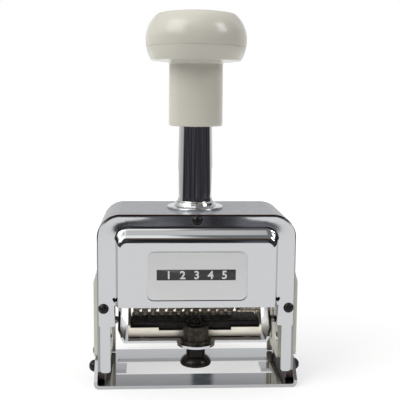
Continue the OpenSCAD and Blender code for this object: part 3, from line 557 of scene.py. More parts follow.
def black_steel():
    look = Look("black_steel", (0.007, 0.006, 0.006), Specular_IOR_Level=0.25)
    look.rough(look.patches(0.8, 0.16, 0.26))
    look.bump(look.noise(0.25), 0.004)
    return look.material


def black_plastic():
    look = Look("black_plastic", (0.008, 0.006, 0.005), Specular_IOR_Level=0.15)
    look.rough(look.patches(1.5, 0.20, 0.30))
    look.bump(look.noise(0.5), 0.004)
    return look.material


def cream_plastic(name, painted_lightness):
    """Gloss cream moulding; painted_lightness scales all its tones, painted light that makes one copy
    lighter and another darker.
    """
    base, low, high = (tuple(painted_lightness * c for c in tone) for tone in
                       ((0.59, 0.575, 0.50), (0.58, 0.565, 0.49), (0.60, 0.585, 0.51)))
    look = Look(name, base)
    look.colour(look.mix(look.ramp(look.noise(30, detail=1), 0.3, 0.7), low, high))
    look.rough(look.patches(5, 0.22, 0.26, detail=1))
    look.bump(look.noise(0.5), 0.0006)
    return look.material


def plate_metal():
    look = Look("plate_metal", (0.66, 0.66, 0.66), metallic=0.4)
    look.rough(look.patches(1.5, 0.34, 0.44, stretch=(0.1, 1, 1)))
    look.bump(look.noise(0.2, stretch=(0.1, 1, 1)), 0.003)
    return look.material


def printed(name, colour):
    look = Look(name, colour)
    look.rough(look.patches(0.8, 0.40, 0.55))
    look.bump(look.noise(0.15), 0.002)
    return look.material


def rubber():
    look = Look("stop_rubber", (0.025, 0.025, 0.025))
    look.rough(look.patches(0.8, 0.60, 0.75))
    look.bump(look.noise(0.3), 0.02)
    return look.material


def inked_felt():
    """Matted fibres soaked with ink: dull where they stand up, wet and glossier between them."""
    look = Look("inked_felt", (0.012, 0.011, 0.013), Sheen_Weight=0.15, Sheen_Roughness=0.5)
    fibres = look.noise(0.22, detail=8)
    look.colour(look.mix(look.ramp(fibres, 0.35, 0.7), (0.007, 0.005, 0.005), (0.026, 0.020, 0.017)))
    look.rough(look.ramp(look.noise(0.7), 0.35, 0.65, 0.45, 0.85))
    look.bump(fibres, 0.12)
    look.bump(look.noise(1.4, detail=4), 0.10)
    return look.material


LOOKS = {
    "chrome_sheet": chrome_sheet(),
    "chrome_turned": chrome_turned(),
    "satin_casting": satin_casting(),
    "nickel_sheet": nickel_sheet(),
    "zinc_steel": plain_steel("zinc_steel", (0.58, 0.58, 0.59), 0.20, 0.34),
    "dark_steel": dark_steel(),
    "spring_steel": plain_steel("spring_steel", (0.42, 0.43, 0.45), 0.22, 0.32),
    "type_metal": type_metal(),
    "brass_stock": brass(),
    "black_steel": black_steel(),
    "black_plastic": black_plastic(),
    # The knob's copy of the cream plastic, set darker than the side covers' copy: painted shade.
    "cream_plastic": cream_plastic("cream_plastic", 0.93),
    "plate_metal": plate_metal(),
    "stop_rubber": rubber(),
    "inked_felt": inked_felt(),
}
COVER_CHROME = cover_chrome()
DULL_STEEL = dull_steel()
# The side covers wear a lighter copy of the same plastic as the knob: painted light.
COVER_CREAM_PAINTED_LIGHT = cream_plastic("cover_cream_painted_light", 1.06)
NODE_LOOKS = {
    "base_bracket": base_chrome(), "pad_bracket": stained_chrome(),
    "cam_plate_left": DULL_STEEL, "cam_plate_right": DULL_STEEL,
    "side_cover_left": COVER_CREAM_PAINTED_LIGHT, "side_cover_right": COVER_CREAM_PAINTED_LIGHT,
}
BAR_PRINT = printed("bar_print", (0.030, 0.030, 0.033))
FIGURE_PRINT = printed("figure_print", (0.62, 0.62, 0.62))
DIAL_PRINT = printed("dial_print", (0.04, 0.04, 0.04))


def wear(obj, material):
    obj.data.materials.clear()
    obj.data.materials.append(material)


def piece(obj, body, slot, *nodes, material=None):
    """Puts a new piece on its body, with its finish, in place of the CAD nodes it stands for."""
    wear(obj, material or LOOKS[slot])
    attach(obj, body)
    if nodes:
        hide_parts(*nodes)


# --------------------------------------
# Casing

RIM_ROWS = 8
BEND_ROWS = 34
# Sections of the emboss as (distance in from its edge, height of the bend, radius)
TOP_BEND = [(-1.4, 0, 0), (0.3, 0, 3.0), (3.5, EMBOSS_OUT, 5.2), (7.0, EMBOSS_OUT, 0)]
SIDE_BEND = [(-0.6, 0, 0), (0.1, 0, 1.2), (1.2, EMBOSS_OUT, 1.8), (3.4, EMBOSS_OUT, 0)]
RIM_SIDE_W = 5.8
RIM_TOP_W = 3.0
ROLL_CORNER_R = 5.4
RIM_TIGHTENING = 0.68
FACE_TIGHTENING = 0.58
DISH_DEPTH = 0.08
DISH_RISE = 8
DISH_HALF_W = 30
SLOT_X = 32.3
SLOT_RISE = 2.4
DIAL_FIGURE_R = 10.6


def cover_row(side, top, r, arc=14):
    """Left foot to right foot of one line round the emboss, as (x, z, share of the way to the top)."""
    w, z1 = EMBOSS_HALF_W - side, EMBOSS_TOP - top
    right = [(w, EMBOSS_BOTTOM + (z1 - r - EMBOSS_BOTTOM) * k / 6, 0.0) for k in range(6)]
    for k in range(arc + 1):
        a = math.pi / 2 * k / arc
        right.append((w - r + r * math.cos(a), z1 - r + r * math.sin(a), k / arc))
    inner = [((w - r) * (1 - k / 4), z1, 1.0) for k in range(1, 4)]
    left = [(-x, z, u) for x, z, u in right]
    return left + [(-x, z, u) for x, z, u in inner] + [(0.0, z1, 1.0)] + inner[::-1] + right[::-1]


def cover_outline(legs):
    """Outer edge of a cover from its left inner corner round to its right one, as (x, z)."""
    w, inner = COVER_HALF_W, 32.0
    right = [(inner, SHOULDER_Z, 0.5)]
    if legs:
        right += [(LEG_INNER, SHOULDER_Z, 0.4), (LEG_INNER, LEG_BOTTOM, 1.4),
                  (LEG_OUTER, LEG_BOTTOM, 1.4), (LEG_OUTER, SHOULDER_Z, 0.2)]
    right += [(w, SHOULDER_Z, 0.4), (w, COVER_TOP, COVER_CORNER_R)]
    corners = [(-x, z, r) for x, z, r in right] + right[::-1]
    ends = [(s * EMBOSS_HALF_W, EMBOSS_BOTTOM, 0) for s in (-1, 1)]
    return fillet_path([ends[0]] + corners + [ends[1]], steps=12)[1:-1]


def dish(x, z, share):
    """How far the sheet stands forward of its flat, share of the way from the emboss's foot to the rim."""
    rise = min(1.0, max(0.0, (z - EMBOSS_BOTTOM) / DISH_RISE))
    return DISH_DEPTH * share ** 2 * rise * (0.1 + 0.9 * min(1.0, abs(x) / DISH_HALF_W) ** 3)


def cover_sections():
    """Rows from the rim to the flat face: inset and depth at the sides, then at the top, and share."""
    rows = []
    for k in range(RIM_ROWS):
        share = 1 - k / RIM_ROWS
        beside = SIDE_BEND[0][0] - RIM_SIDE_W * share
        rows.append((beside, 0.0, TOP_BEND[0][0] - RIM_TOP_W * share, 0.0, share))
    side, top = (resample(fillet_path(bend, steps=20), BEND_ROWS) for bend in (SIDE_BEND, TOP_BEND))
    return rows + [(a, da, b, db, 0.0) for (a, da), (b, db) in zip(side, top)]


def cover_grid():
    """Points of a cover's rows, and the numbers of the points in each row."""
    points, lines = [], []
    for beside, side_depth, above, top_depth, share in cover_sections():
        corner = ROLL_CORNER_R - (RIM_TIGHTENING if above < 0 else FACE_TIGHTENING) * above
        first = len(points)
        for x, z, u in cover_row(beside, above, corner):
            blend = u * u * (3 - 2 * u)
            depth = side_depth * (1 - blend) + top_depth * blend + dish(x, z, share)
            points.append((x, -COVER_FRONT - depth, z))
        lines.append(list(range(first, len(points))))
    return points, lines


def pressed_cover(name, legs):
    """Sheet cover: a slightly dished rim, then the emboss with foot bend, slope, wide bend and face."""
    points, lines = cover_grid()
    faces = []
    for low, high in zip(lines, lines[1:]):
        faces += [(low[i], high[i], high[i + 1], low[i + 1]) for i in range(len(low) - 1)]
    faces.append(tuple(lines[-1]))
    ring = []
    for x, z in cover_outline(legs):
        ring.append(len(points))
        points.append((x, -COVER_FRONT - dish(x, z, 1.0), z))
    ring += [lines[k][-1] for k in range(RIM_ROWS, 0, -1)] + lines[0][::-1]
    ring += [lines[k][0] for k in range(1, RIM_ROWS + 1)]
    faces.append(tuple(ring))
    sheet = mesh_object(name, points, faces)
    clean(sheet)
    face_out(sheet, Vector((0, -1, 0)))
    modifier(sheet, "SOLIDIFY", thickness=COVER_T * MM, offset=-1.0, use_even_offset=True)
    return sheet


def face_out(obj, way):
    """Turns an open sheet so that its largest face looks along way."""
    largest = max(obj.data.polygons, key=lambda p: p.area)
    if largest.normal.dot(way) < 0:
        obj.data.flip_normals()


def relief_slots():
    """Cutters for the two slanted relief slots beside the emboss's open end."""
    w, h, r = 0.6, 0.8, 0.55
    outline = fillet_path([(-w, -h, r), (w, -h, r), (w, h, r), (-w, h, r)], closed=True, steps=5)
    cutters = []
    for s in (-1, 1):
        lean = math.radians(25) * s
        turned = [(x * math.cos(lean) + z * math.sin(lean) + s * SLOT_X,
                   z * math.cos(lean) - x * math.sin(lean) + EMBOSS_BOTTOM + SLOT_RISE) for x, z in outline]
        # Each cut stops 0.12 mm short of the sheet's inner face; cover_chrome paints the thin floor left
        # there near black, as painted shade of an open slot.
        cutters.append(prism("slot_cutter", turned, HOUSING_HALF_D + 0.12, FACE + 1, front_place))
    return cutters


def plate_outline(grow=0.0):
    w, h = PLATE_SIZE[0] / 2 + grow, PLATE_SIZE[1] / 2 + grow
    corners = [(-w, -h), (w, -h), (w, h), (-w, h)]
    return fillet_path([(x, z + PLATE_Z, 2.6 + grow) for x, z in corners], closed=True, steps=10)


def covers():
    front = pressed_cover("front_cover_sheet", legs=True)
    recess = prism("recess_cutter", plate_outline(0.45), FACE - 0.65, FACE + 1, front_place)
    cut(front, relief_slots() + [recess])
    rear = pressed_cover("rear_cover_sheet", legs=False)
    cut(rear, relief_slots())
    rear.data.transform(Matrix.Rotation(math.pi, 4, "Z"))
    for sheet, node in ((front, "front_cover"), (rear, "rear_cover")):
        soften(sheet, 0.34, segments=3, angle=40)
        piece(sheet, "casing", "chrome_sheet", node, material=COVER_CHROME)


def front_place(a, b, h):
    """Place of outline point (a, b) on a front that stands h ahead of the middle."""
    return a, -h, b


def number_plate():
    """Satin plate with a dark bar that carries plain figures."""
    plate = prism("plate_blank", plate_outline(), FACE - PLATE_T, FACE + 0.02, front_place)
    soften(plate, 0.26, segments=3)
    piece(plate, "casing", "plate_metal", "number_plate")
    left, right, low, high = -15.75, 14.9, 44.35, 48.55
    first_figure, figure_pitch = -11.1, 5.4
    corners = [(left, low), (right, low), (right, high), (left, high)]
    outline = fillet_path([(x, z, 0.2) for x, z in corners], closed=True)
    bar = prism("plate_bar", outline, FACE + 0.01, FACE + 0.05, front_place)
    piece(bar, "casing", "plate_metal", material=BAR_PRINT)
    upright = Matrix.Rotation(math.pi / 2, 4, "X")
    placed = []
    for k, text in enumerate("12345"):
        place = Vector((first_figure + figure_pitch * k, -FACE - 0.05, (low + high) / 2))
        spot = Matrix.Translation(place * MM)
        placed.append((digit_mesh(text, 3.2, 0.03, bold=0.09), spot @ upright))
    piece(stamp_meshes("plate_figures", placed), "casing", "plate_metal", material=FIGURE_PRINT)


def dial_figures():
    """Repeat settings moulded round the dial, read turning to the left from the top."""
    facing = Matrix(((0, 0, 1), (1, 0, 0), (0, 1, 0))).to_4x4()
    placed = []
    for k, text in enumerate(("0", "1", "2", "3", "4", "6", "12")):
        a = math.radians(45 * k)
        place = Vector((HOUSING_HALF_W + 1.7, -DIAL_FIGURE_R * math.sin(a),
                        DIAL_Z + DIAL_FIGURE_R * math.cos(a)))
        placed.append((digit_mesh(text, 2.4, 0.2, bold=0.05), Matrix.Translation(place * MM) @ facing))
    piece(stamp_meshes("dial_figures", placed), "casing", "cream_plastic", material=DIAL_PRINT)


def guide_tube():
    """Turned tube: the bore, the threaded shank, the flange on the housing, its steps and the tube."""
    z = HOUSING_TOP
    rod_bore, spring_bore, foot, top = 3.96, 5.6, 55.0, 112.0
    profile = fillet_path([
        (rod_bore, foot, 0), (6.0, foot, 0.2), (6.0, z, 0), (11.4, z, 0), (11.4, z + 0.85, 0.3),
        (9.0, z + 1.05, 0.5), (8.5, z + 1.7, 0.4), (8.1, z + 2.6, 0.6), (7.45, z + 3.1, 0.5),
        (7.33, z + 4.6, 0.8), (6.55, top - 0.3, 0.3), (6.2, top, 0.2), (spring_bore, top, 0.1),
        (spring_bore, GUIDE_TOP, 0), (rod_bore, GUIDE_TOP, 0)
    ], closed=True, steps=5)
    piece(lathe("guide_tube_turned", profile), "casing", "chrome_turned", "guide_tube")


def wall_flanges():
    """Narrow flange that each side wall turns inwards along its rear edge, behind the legs."""
    inner, outer, low, high = 33.8, 36.35, 1.7, 28.0
    back, front = HOUSING_HALF_D - 0.1, HOUSING_HALF_D - 1.4
    for s, side in ((-1, "left"), (1, "right")):
        corners = [(s * inner, low), (s * outer, low), (s * outer, high), (s * inner, high)]
        outline = fillet_path([(x, z, 0.8) for x, z in corners], closed=True)
        flange = prism(f"wall_flange_{side}", outline, -back, -front, front_place)
        soften(flange, 0.4, segments=4)
        piece(flange, "casing", "satin_casting", material=DULL_STEEL)


# --------------------------------------
# Knob

KNOB_R = 20.3
KNOB_H = 19.4
WIDEST_Z = KNOB_BOTTOM + KNOB_H * 0.423
SEAM_Z = KNOB_BOTTOM + KNOB_H * 0.284
UPPER_CURVE = 0.644
LOWER_CURVE = 0.777
ROD_SOCKET_R = 3.95
SLEEVE_BORE_R = 8.0
SKIRT_BOTTOM = 103.0
SKIRT_R = 10.8


def knob_side(z):
    """Radius of the knob's outside at a height."""
    h = z - WIDEST_Z
    r = KNOB_R * (UPPER_CURVE if h > 0 else LOWER_CURVE)
    return KNOB_R - r + math.sqrt(r * r - h * h)


def knob_arc(z0, z1, steps):
    return [(knob_side(z0 + (z1 - z0) * k / steps), z0 + (z1 - z0) * k / steps, 0) for k in range(steps + 1)]


def knob_cap():
    shoulder, seat, socket_top = OVERALL_H - 2.0, 137.0, 142.9
    edge = knob_side(shoulder)
    hollow = [(ROD_SOCKET_R, seat, 0), (SLEEVE_BORE_R, seat, 0.2), (SLEEVE_BORE_R, SEAM_Z, 0.2)]
    crown = [(edge - 0.8, OVERALL_H - 1.2, 1.2), (edge - 2.4, OVERALL_H - 0.76, 3.0),
             (edge - 4.5, OVERALL_H - 0.44, 3.0), (edge / 2, OVERALL_H - 0.12, 3.0), (0.0, OVERALL_H, 0)]
    outside = [(knob_side(SEAM_Z), SEAM_Z + 0.02, 0.14)] + knob_arc(SEAM_Z + 0.3, shoulder, 48)
    socket = [(0.0, socket_top, 0), (ROD_SOCKET_R, socket_top, 0)]
    profile = fillet_path(hollow + outside + crown + socket, closed=True, steps=5)
    piece(lathe("knob_cap_moulding", profile, segments=192), "plunger", "cream_plastic", "knob_cap")


def knob_sleeve():
    foot = knob_side(KNOB_BOTTOM + 1)
    skirt = [(SLEEVE_BORE_R, SKIRT_BOTTOM, 0.4), (SKIRT_R, SKIRT_BOTTOM, 0.5),
             (SKIRT_R + 0.1, SKIRT_BOTTOM + 1, 0.5), (SKIRT_R, KNOB_BOTTOM - 0.8, 0.9),
             (foot - 0.5, KNOB_BOTTOM, 0.5)]
    seam = [(knob_side(SEAM_Z - 0.02), SEAM_Z - 0.02, 0.1), (SLEEVE_BORE_R, SEAM_Z - 0.02, 0)]
    outside = knob_arc(KNOB_BOTTOM + 0.5, SEAM_Z - 0.3, 20)
    profile = fillet_path(skirt + outside + seam, closed=True, steps=5)
    piece(lathe("knob_sleeve_moulding", profile, segments=192), "plunger", "cream_plastic", "knob_sleeve")


# --------------------------------------
# Springs

def squashed(coil):
    """Gives the coil a mesh of its own; the spring keeps the length it was built with.
    Shortens a spring towards its foot by a little more than the joint's stroke.
    """
    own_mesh(coil)


def springs():
    """The return spring and the latch spring, each a coil of round wire in place of its CAD node."""
    radius, wire_r, turns = 4.75, 0.45, 18
    low, high = (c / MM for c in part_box("return_spring"))
    path = coil_path((0.0, 0.0), radius, wire_r, low.z, high.z, turns)
    coil = wire("return_spring_coil", path, wire_r)
    piece(coil, "casing", "spring_steel", "return_spring")
    squashed(coil)
    radius, wire_r, turns = 2.9, 0.25, 4
    low, high = (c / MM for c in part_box("latch_spring"))
    path = coil_path((0.0, LATCH_Y), radius, wire_r, low.z, high.z, turns)
    coil = wire("latch_spring_coil", path, wire_r)
    piece(coil, "pad_frame", "spring_steel", "latch_spring")
    squashed(coil)


# --------------------------------------
# Wheels and pad

BLOCK_FACE_R = 10.78
FIGURE_H = 3.7
FIGURE_RELIEF = 0.22
FIGURE_NARROWING = 0.8
FLANGE_BORE_R = 3.0
FLANGE_R = 8.7
FLANGE_T = 0.3
FLANGE_BACK = 0.45
DISC_COUNT = 5
DISC_LEFT = 17.9
DISC_PITCH = 1.9
DISC_T = 1.55
ARM_FACE_X = 31.4
FELT_STEP = 0.45
FELT_EDGE_R = 0.7
FELT_SLACK = 0.12
NO_LENGTH = 1e-6


def type_figures():
    """Raised mirror-image figures on the ten blocks of each wheel."""
    digits = [digit_mesh(str(n), FIGURE_H, FIGURE_RELIEF) for n in range(10)]
    flip = Matrix.Rotation(math.pi, 4, "X")
    mirror = Matrix.Scale(-1, 4, (0, 1, 0))
    seat = Matrix.Translation(Vector((0, 0, -BLOCK_FACE_R)) * MM)
    narrow = Matrix.Scale(FIGURE_NARROWING, 4, (1, 0, 0))
    for wheel in range(1, WHEEL_COUNT + 1):
        x = STACK_LEFT + (wheel - 1) * WHEEL_PITCH + TYPE_START + TYPE_W / 2
        axle = Matrix.Translation(Vector((x, 0, AXLE_Z)) * MM)
        placed = []
        for k, digit in enumerate(digits):
            turn = Matrix.Rotation(math.radians(36 * k), 4, "X")
            placed.append((digit, axle @ turn @ seat @ flip @ mirror @ narrow))
        figures = stamp_meshes(f"figures_{wheel}", placed)
        piece(figures, f"type_wheel_{wheel}", "type_metal")


def along_axle(a, b, h):
    """Place of outline point (a, b), given about the wheel axle, on a piece that runs along it."""
    return h, a, AXLE_Z + b


def ratchet_outline(teeth, tip, root, ramp):
    """Saw teeth: a steep side, a short land at the tip and a slope of ramp degrees down to the root."""
    first, steep, land = -99.4, 1.5, 0.25
    outline = []
    for k in range(teeth):
        start = first + 360 * k / teeth
        corners = ((start - steep, root), (start, tip), (start + ramp * land, tip), (start + ramp, root))
        for angle, r in corners:
            a = math.radians(angle)
            outline.append((r * math.cos(a), r * math.sin(a)))
    return outline


def wheel_flanges():
    """Thin round flange on the ratchet side of each type wheel, just clear of the pawl fingers."""
    corners = [(FLANGE_BORE_R, 0), (FLANGE_R, 0), (FLANGE_R, FLANGE_T), (FLANGE_BORE_R, FLANGE_T)]
    section = fillet_path([(r, h, 0.05) for r, h in corners], closed=True, steps=2)
    turned = Matrix.Rotation(math.pi / 2, 4, "Y")
    for wheel in range(1, WHEEL_COUNT + 1):
        x = STACK_LEFT + wheel * WHEEL_PITCH - FLANGE_BACK
        flange = lathe(f"wheel_flange_{wheel}", section, segments=72)
        flange.data.transform(Matrix.Translation(Vector((x, 0, AXLE_Z)) * MM) @ turned)
        piece(flange, f"type_wheel_{wheel}", "type_metal")


def selector_discs():
    """Toothed discs along the selector hub."""
    outline = ratchet_outline(teeth=24, tip=9.9, root=9.2, ramp=12)
    for k in range(DISC_COUNT):
        x = DISC_LEFT + DISC_PITCH * k
        disc = prism(f"selector_disc_{k + 1}", outline, x, x + DISC_T, along_axle)
        soften(disc, 0.08, segments=1)
        piece(disc, "plunger", "dark_steel", material=LOOKS["type_metal"])


def coil_on_arm(s, y, z):
    """Path of the small coil round a stud and of its straight tail; s is the arm's side, -1 or 1."""
    radius, turns, per_turn = 1.35, 4, 16
    path = []
    for k in range(turns * per_turn + 1):
        a = 2 * math.pi * k / per_turn
        x = s * (ARM_FACE_X + 0.25 + 1.35 * k / (turns * per_turn))
        path.append(Vector((x, y + radius * math.cos(a), z + radius * math.sin(a))))
    return path + [path[-1] + Vector((0, 0.2 * k, 0.9 * k)) for k in range(1, 5)]


def arm_studs():
    """On each arm of the pad bracket, a stud with a dark head and the small coil that steadies the tray."""
    y, z = -6.0, 23.6
    stud = [(0.0, 0), (0.9, 0), (0.9, 1.75), (1.55, 1.75), (1.55, 2.15), (1.0, 2.55), (0.0, 2.65)]
    profile = fillet_path([(r, h, 0.12) for r, h in stud], closed=True, steps=3)
    for s, side in ((-1, "left"), (1, "right")):
        head = lathe(f"arm_stud_{side}", profile, segments=40)
        turned = Matrix.Rotation(s * math.pi / 2, 4, "Y")
        head.data.transform(Matrix.Translation(Vector((s * ARM_FACE_X, y, z)) * MM) @ turned)
        piece(head, "pad_frame", "black_steel")
        piece(wire(f"arm_coil_{side}", coil_on_arm(s, y, z), 0.17), "pad_frame", "chrome_turned")


def felt_grid(size):
    """Unit cube cut into cells that are about FELT_STEP wide once it is stretched to size."""
    bm = bmesh.new()
    bmesh.ops.create_cube(bm, size=1.0)
    for axis in range(3):
        uncut = [e for e in bm.edges if abs(e.verts[0].co[axis] - e.verts[1].co[axis]) > 0.5]
        cuts = max(2, round(size[axis] / FELT_STEP))
        bmesh.ops.subdivide_edges(bm, edges=uncut, cuts=cuts, use_grid_fill=True)
    return bm


def felt_point(at, half, middle):
    """Where a point of the unit cube lies on the felt, with its rounded edge and its fibres."""
    p = Vector([at[i] * 2 * half[i] for i in range(3)])
    core = Vector([max(-half[i] + FELT_EDGE_R, min(half[i] - FELT_EDGE_R, p[i])) for i in range(3)])
    off = p - core
    way = Vector((0, 0, 0))
    if off.length > NO_LENGTH:
        way = off.normalized()
        p = core + way * min(FELT_EDGE_R, off.length)
    place = middle + p
    fuzz = noise.noise(place * 1.7) * 0.07 + noise.noise(place * 0.35) * 0.05
    return place + way * fuzz


def ink_pad():
    """Felt slab with rounded edges, a slack top and fibres standing a little proud."""
    low, high = (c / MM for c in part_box("ink_pad"))
    size = high - low
    half = size / 2 - Vector((FELT_SLACK, FELT_SLACK, FELT_SLACK))
    bm = felt_grid(size)
    for v in bm.verts:
        v.co = felt_point(v.co, half, (low + high) / 2) * MM
    mesh = bpy.data.meshes.new("ink_pad_felt")
    bm.to_mesh(mesh)
    bm.free()
    mesh.polygons.foreach_set("use_smooth", [True] * len(mesh.polygons))
    pad = link("ink_pad_felt", mesh)
    piece(pad, "pad_frame", "inked_felt", "ink_pad")


def latch_knob():
    """Black pull knob: a narrow neck that flares to a wide foot, hollow for the latch shaft."""
    bottom, h, r, shaft_r, seat = 7.4, 8.5, 6.3, 1.75, 1.5
    neck = r * 0.6
    hollow = [(0, bottom + seat, 0), (shaft_r, bottom + seat, 0), (shaft_r, bottom + h, 0.1)]
    stem = [(neck, bottom + h, 0.4), (neck, bottom + h * 0.53, 1.0)]
    shares = [k / 12 for k in range(1, 12)]
    flare = [(neck + (r - neck) * u * (2 - u), bottom + h * (0.53 - 0.36 * u), 0.4) for u in shares]
    foot = [(r, bottom + h * 0.17, 0.4), (r - 0.15, bottom + h * 0.09, 0.4),
            (r - 1.4, bottom + 0.25, 0.6), (r * 0.4, bottom, 0.4), (0, bottom, 0)]
    profile = fillet_path(hollow + stem + flare + foot, closed=True, steps=4)
    knob = lathe("latch_knob_moulding", profile, (0.0, LATCH_Y), 96)
    piece(knob, "pad_latch", "black_plastic", "latch_knob")


# --------------------------------------
# Carried-over nodes

EDGES = {
    "base_bracket": 0.22, "housing_frame": 0.30, "side_cover_left": 0.45, "side_cover_right": 0.45,
    "pad_bracket": 0.15, "pad_tray": 0.14, "carriage": 0.18, "cam_plate_left": 0.12,
    "cam_plate_right": 0.12, "detent_bar": 0.2, "rod_nut": 0.2, "tube_nut": 0.2, "latch_keeper": 0.1,
    "latch_sleeve": 0.18, "selector_dial": 0.15, "axle_washers": 0.08, "wheel_axle": 0.2,
    "latch_shaft": 0.15, "base_screws": 0.08, "front_cover_screws": 0.07, "rear_cover_screws": 0.07,
    "selector_hub": 0.1, "follower_pins": 0.1, "pawl_rocker": 0.05, "stop_washer": 0.2,
}


def dress_nodes():
    finishes = {part["node"]: part["material_slot"] for part in frame["record"]["subparts"]}
    for name, node in frame["nodes"].items():
        if node.hide_render:
            continue
        wear(node, NODE_LOOKS.get(name, LOOKS[finishes[name]]))
        node.data.polygons.foreach_set("use_smooth", [True] * len(node.data.polygons))
        if name in EDGES:
            soften(node, EDGES[name], weld=True)
        elif name.startswith("number_wheel_"):
            soften(node, 0.08, weld=True)


# --------------------------------------
# Stage, light and camera

PHOTO_WIDTH = 400


class Sky(Nodes):
    """World nodes that give a brightness to each direction; angles are in degrees."""

    def __init__(self, tree):
        super().__init__(tree)
        split = self.node("ShaderNodeSeparateXYZ")
        self.link(self.node("ShaderNodeTexCoord").outputs["Generated"], split.inputs["Vector"])
        x, y, z = split.outputs
        self.rise = self.times(self.math("ARCSINE", z), 180 / math.pi)
        turn = self.math("ARCTAN2", x, self.times(y, -1.0))
        self.bearing = self.times(turn, 180 / math.pi)

    def step(self, value, low, high):
        """0 below low, 1 above high, smooth between."""
        return self.ramp(value, low, high, interpolation_type="SMOOTHSTEP")

    def between(self, value, low, high, edge):
        """1 between low and high, 0 outside, with soft ends."""
        rising = self.step(value, low - edge, low + edge)
        falling = self.math("SUBTRACT", 1.0, self.step(value, high - edge, high + edge))
        return self.times(rising, falling)

    def noise(self, across, along):
        """Blotches about across degrees wide and along degrees high."""
        place = self.node("ShaderNodeCombineXYZ")
        self.link(self.math("DIVIDE", self.bearing, across), place.inputs["X"])
        self.link(self.math("DIVIDE", self.rise, along), place.inputs["Y"])
        made = self.node("ShaderNodeTexNoise")
        made.inputs["Scale"].default_value = 1.0
        made.inputs["Detail"].default_value = 2.0
        self.link(place.outputs[0], made.inputs["Vector"])
        return made.outputs["Fac"]


def pale_room(sky, front):
    """The room behind and beside the part, a post in it, and the bright area over the front."""
    aside = sky.math("ABSOLUTE", sky.bearing)
    room = sky.mix(sky.step(aside, 95, 165), (0.58, 0.57, 0.54), (0.90, 0.91, 0.92))
    behind_up = sky.times(sky.step(sky.rise, 18.5, 22), sky.step(aside, 120, 150))
    room = sky.mix(behind_up, room, (0.42, 0.42, 0.43))
    post = sky.times(sky.between(sky.bearing, 175.6, 177.2, 0.2), sky.step(sky.rise, 19.6, 20.2))
    room = sky.mix(post, room, (0.10, 0.11, 0.12))
    upper = sky.times(front, sky.between(sky.rise, 44, 78, 6))
    shoulder = sky.mix(sky.step(sky.bearing, 1, 8), (1.35, 1.35, 1.33), (0.25, 0.25, 0.26))
    room = sky.mix(upper, room, shoulder)
    return sky.mix(sky.step(sky.rise, 70, 85), room, (0.85, 0.85, 0.84))


def dark_clutter(sky):
    """What stands in front, below the lamps: dark shapes with a far edge, a post and a shelf."""
    clutter = sky.mix(sky.step(sky.noise(5, 40), 0.45, 0.75), (0.026, 0.026, 0.029), (0.18, 0.18, 0.205))
    far = sky.times(sky.between(sky.rise, -9.6, -8.8, 0.25), sky.step(sky.noise(7, 3), 0.40, 0.62))
    clutter = sky.mix(far, clutter, (0.42, 0.43, 0.45))
    clutter = sky.mix(sky.between(sky.bearing, -23, -21, 0.8), clutter, (0.16, 0.10, 0.07))
    return sky.mix(sky.between(sky.rise, 27, 31, 1.2), clutter, (0.22, 0.11, 0.07))


def studio_world():
    """White for the camera. Everything else sees a pale room that is dark in front, below the lamps."""
    world = bpy.data.worlds.new("studio")
    bpy.context.scene.world = world
    world.use_nodes = True
    world.node_tree.nodes.clear()
    sky = Sky(world.node_tree)
    front = sky.between(sky.bearing, -91, 113, 4)
    room = pale_room(sky, front)
    dark = sky.times(front, sky.math("SUBTRACT", 1.0, sky.step(sky.rise, 32, 50)))
    window = sky.times(sky.between(sky.bearing, -110, -28, 4), sky.between(sky.rise, 14, 60, 2))
    dark = sky.times(dark, sky.math("SUBTRACT", 1.0, window))
    room = sky.mix(window, room, (1.20, 1.20, 1.18))
    room = sky.mix(dark, room, dark_clutter(sky))
    studio = sky.node("ShaderNodeBackground")
    sky.link(room, studio.inputs["Color"])
    white = sky.node("ShaderNodeBackground")
    white.inputs["Color"].default_value = (1, 1, 1, 1)
    pick = sky.node("ShaderNodeMixShader")
    sky.link(sky.node("ShaderNodeLightPath").outputs["Is Camera Ray"], pick.inputs[0])
    sky.link(studio.outputs[0], pick.inputs[1])
    sky.link(white.outputs[0], pick.inputs[2])
    out = sky.node("ShaderNodeOutputWorld")
    sky.link(pick.outputs[0], out.inputs["Surface"])


def table():
    """White table top that ends a hand's breadth beyond the camera and glows to plain white far off."""
    front, back, left, right = -360.0, 900.0, -560.0, 640.0
    corners = [(left, front, 0), (right, front, 0), (right, back, 0), (left, back, 0)]
    top = mesh_object("table_top", corners, [(0, 1, 2, 3)], smooth=False)
    look = Look("table_white", (0.38, 0.38, 0.38), roughness=0.9)
    look.shader.inputs["Specular IOR Level"].default_value = 0.0
    look.shader.inputs["Emission Color"].default_value = (1, 1, 1, 1)
    near, far, near_glow, far_glow = 150, 500, 0.57, 1.0
    glow = look.ramp(look.part("Y"), near * MM, far * MM, near_glow, far_glow)
    look.link(glow, look.shader.inputs["Emission Strength"])
    wear(top, look.material)


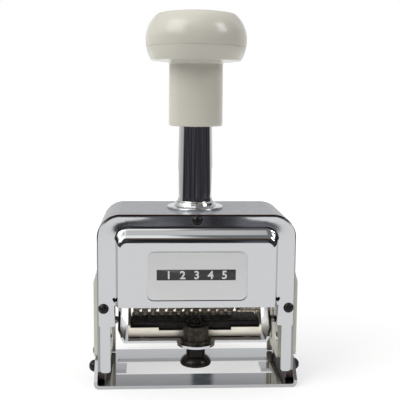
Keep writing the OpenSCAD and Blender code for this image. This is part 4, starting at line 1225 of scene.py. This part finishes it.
def lamp(name, place, target, size, power, mirrored=True):
    """Soft rectangular lamp; one that isn't mirrored lights the part without showing in its chrome."""
    light = bpy.data.lights.new(name, "AREA")
    light.shape = "RECTANGLE"
    light.size, light.size_y = size
    light.energy = power
    obj = bpy.data.objects.new(name, light)
    obj.visible_glossy = mirrored
    bpy.context.scene.collection.objects.link(obj)
    aim = Vector(target) - Vector(place)
    obj.matrix_world = Matrix.Translation(place) @ aim.to_track_quat("-Z", "Y").to_matrix().to_4x4()
    obj.visible_camera = False


def lamps():
    centre = (0.0, 0.0, 0.07)
    lamp("key_lamp", (-0.80, -0.50, 0.90), centre, (0.8, 0.8), 7.6)
    lamp("top_lamp", (0.0, 0.15, 1.25), centre, (1.2, 0.9), 5.0, mirrored=False)
    lamp("window_lamp", (0.85, -0.45, 0.75), (0.0, 0.0, 0.12), (0.35, 0.5), 3.8)


def camera():
    """Camera at the fitted place: place in metres, angles in radians, focal length in photo pixels."""
    place = (-0.0162128, -0.3151245, 0.116514)
    yaw, pitch, roll, focal = 0.0579865, 0.1386292, 0.0093859, 772.7515
    ahead = Vector((math.sin(yaw) * math.cos(pitch), math.cos(yaw) * math.cos(pitch), -math.sin(pitch)))
    right = Vector((math.cos(yaw), -math.sin(yaw), 0))
    up = right.cross(ahead)
    across = right * math.cos(roll) + up * math.sin(roll)
    upward = up * math.cos(roll) - right * math.sin(roll)
    data = bpy.data.cameras.new("camera")
    data.sensor_width = 36.0
    data.lens = focal * data.sensor_width / PHOTO_WIDTH
    data.clip_start = 0.01
    obj = bpy.data.objects.new("camera", data)
    bpy.context.scene.collection.objects.link(obj)
    turned = Matrix((across, upward, -ahead)).transposed().to_4x4()
    obj.matrix_world = Matrix.Translation(place) @ turned
    bpy.context.scene.camera = obj


covers()
number_plate()
dial_figures()
guide_tube()
wall_flanges()
knob_cap()
knob_sleeve()
springs()
type_figures()
wheel_flanges()
selector_discs()
arm_studs()
ink_pad()
latch_knob()
dress_nodes()
studio_world()
table()
lamps()
camera()
bpy.context.scene.view_settings.view_transform = "Standard"
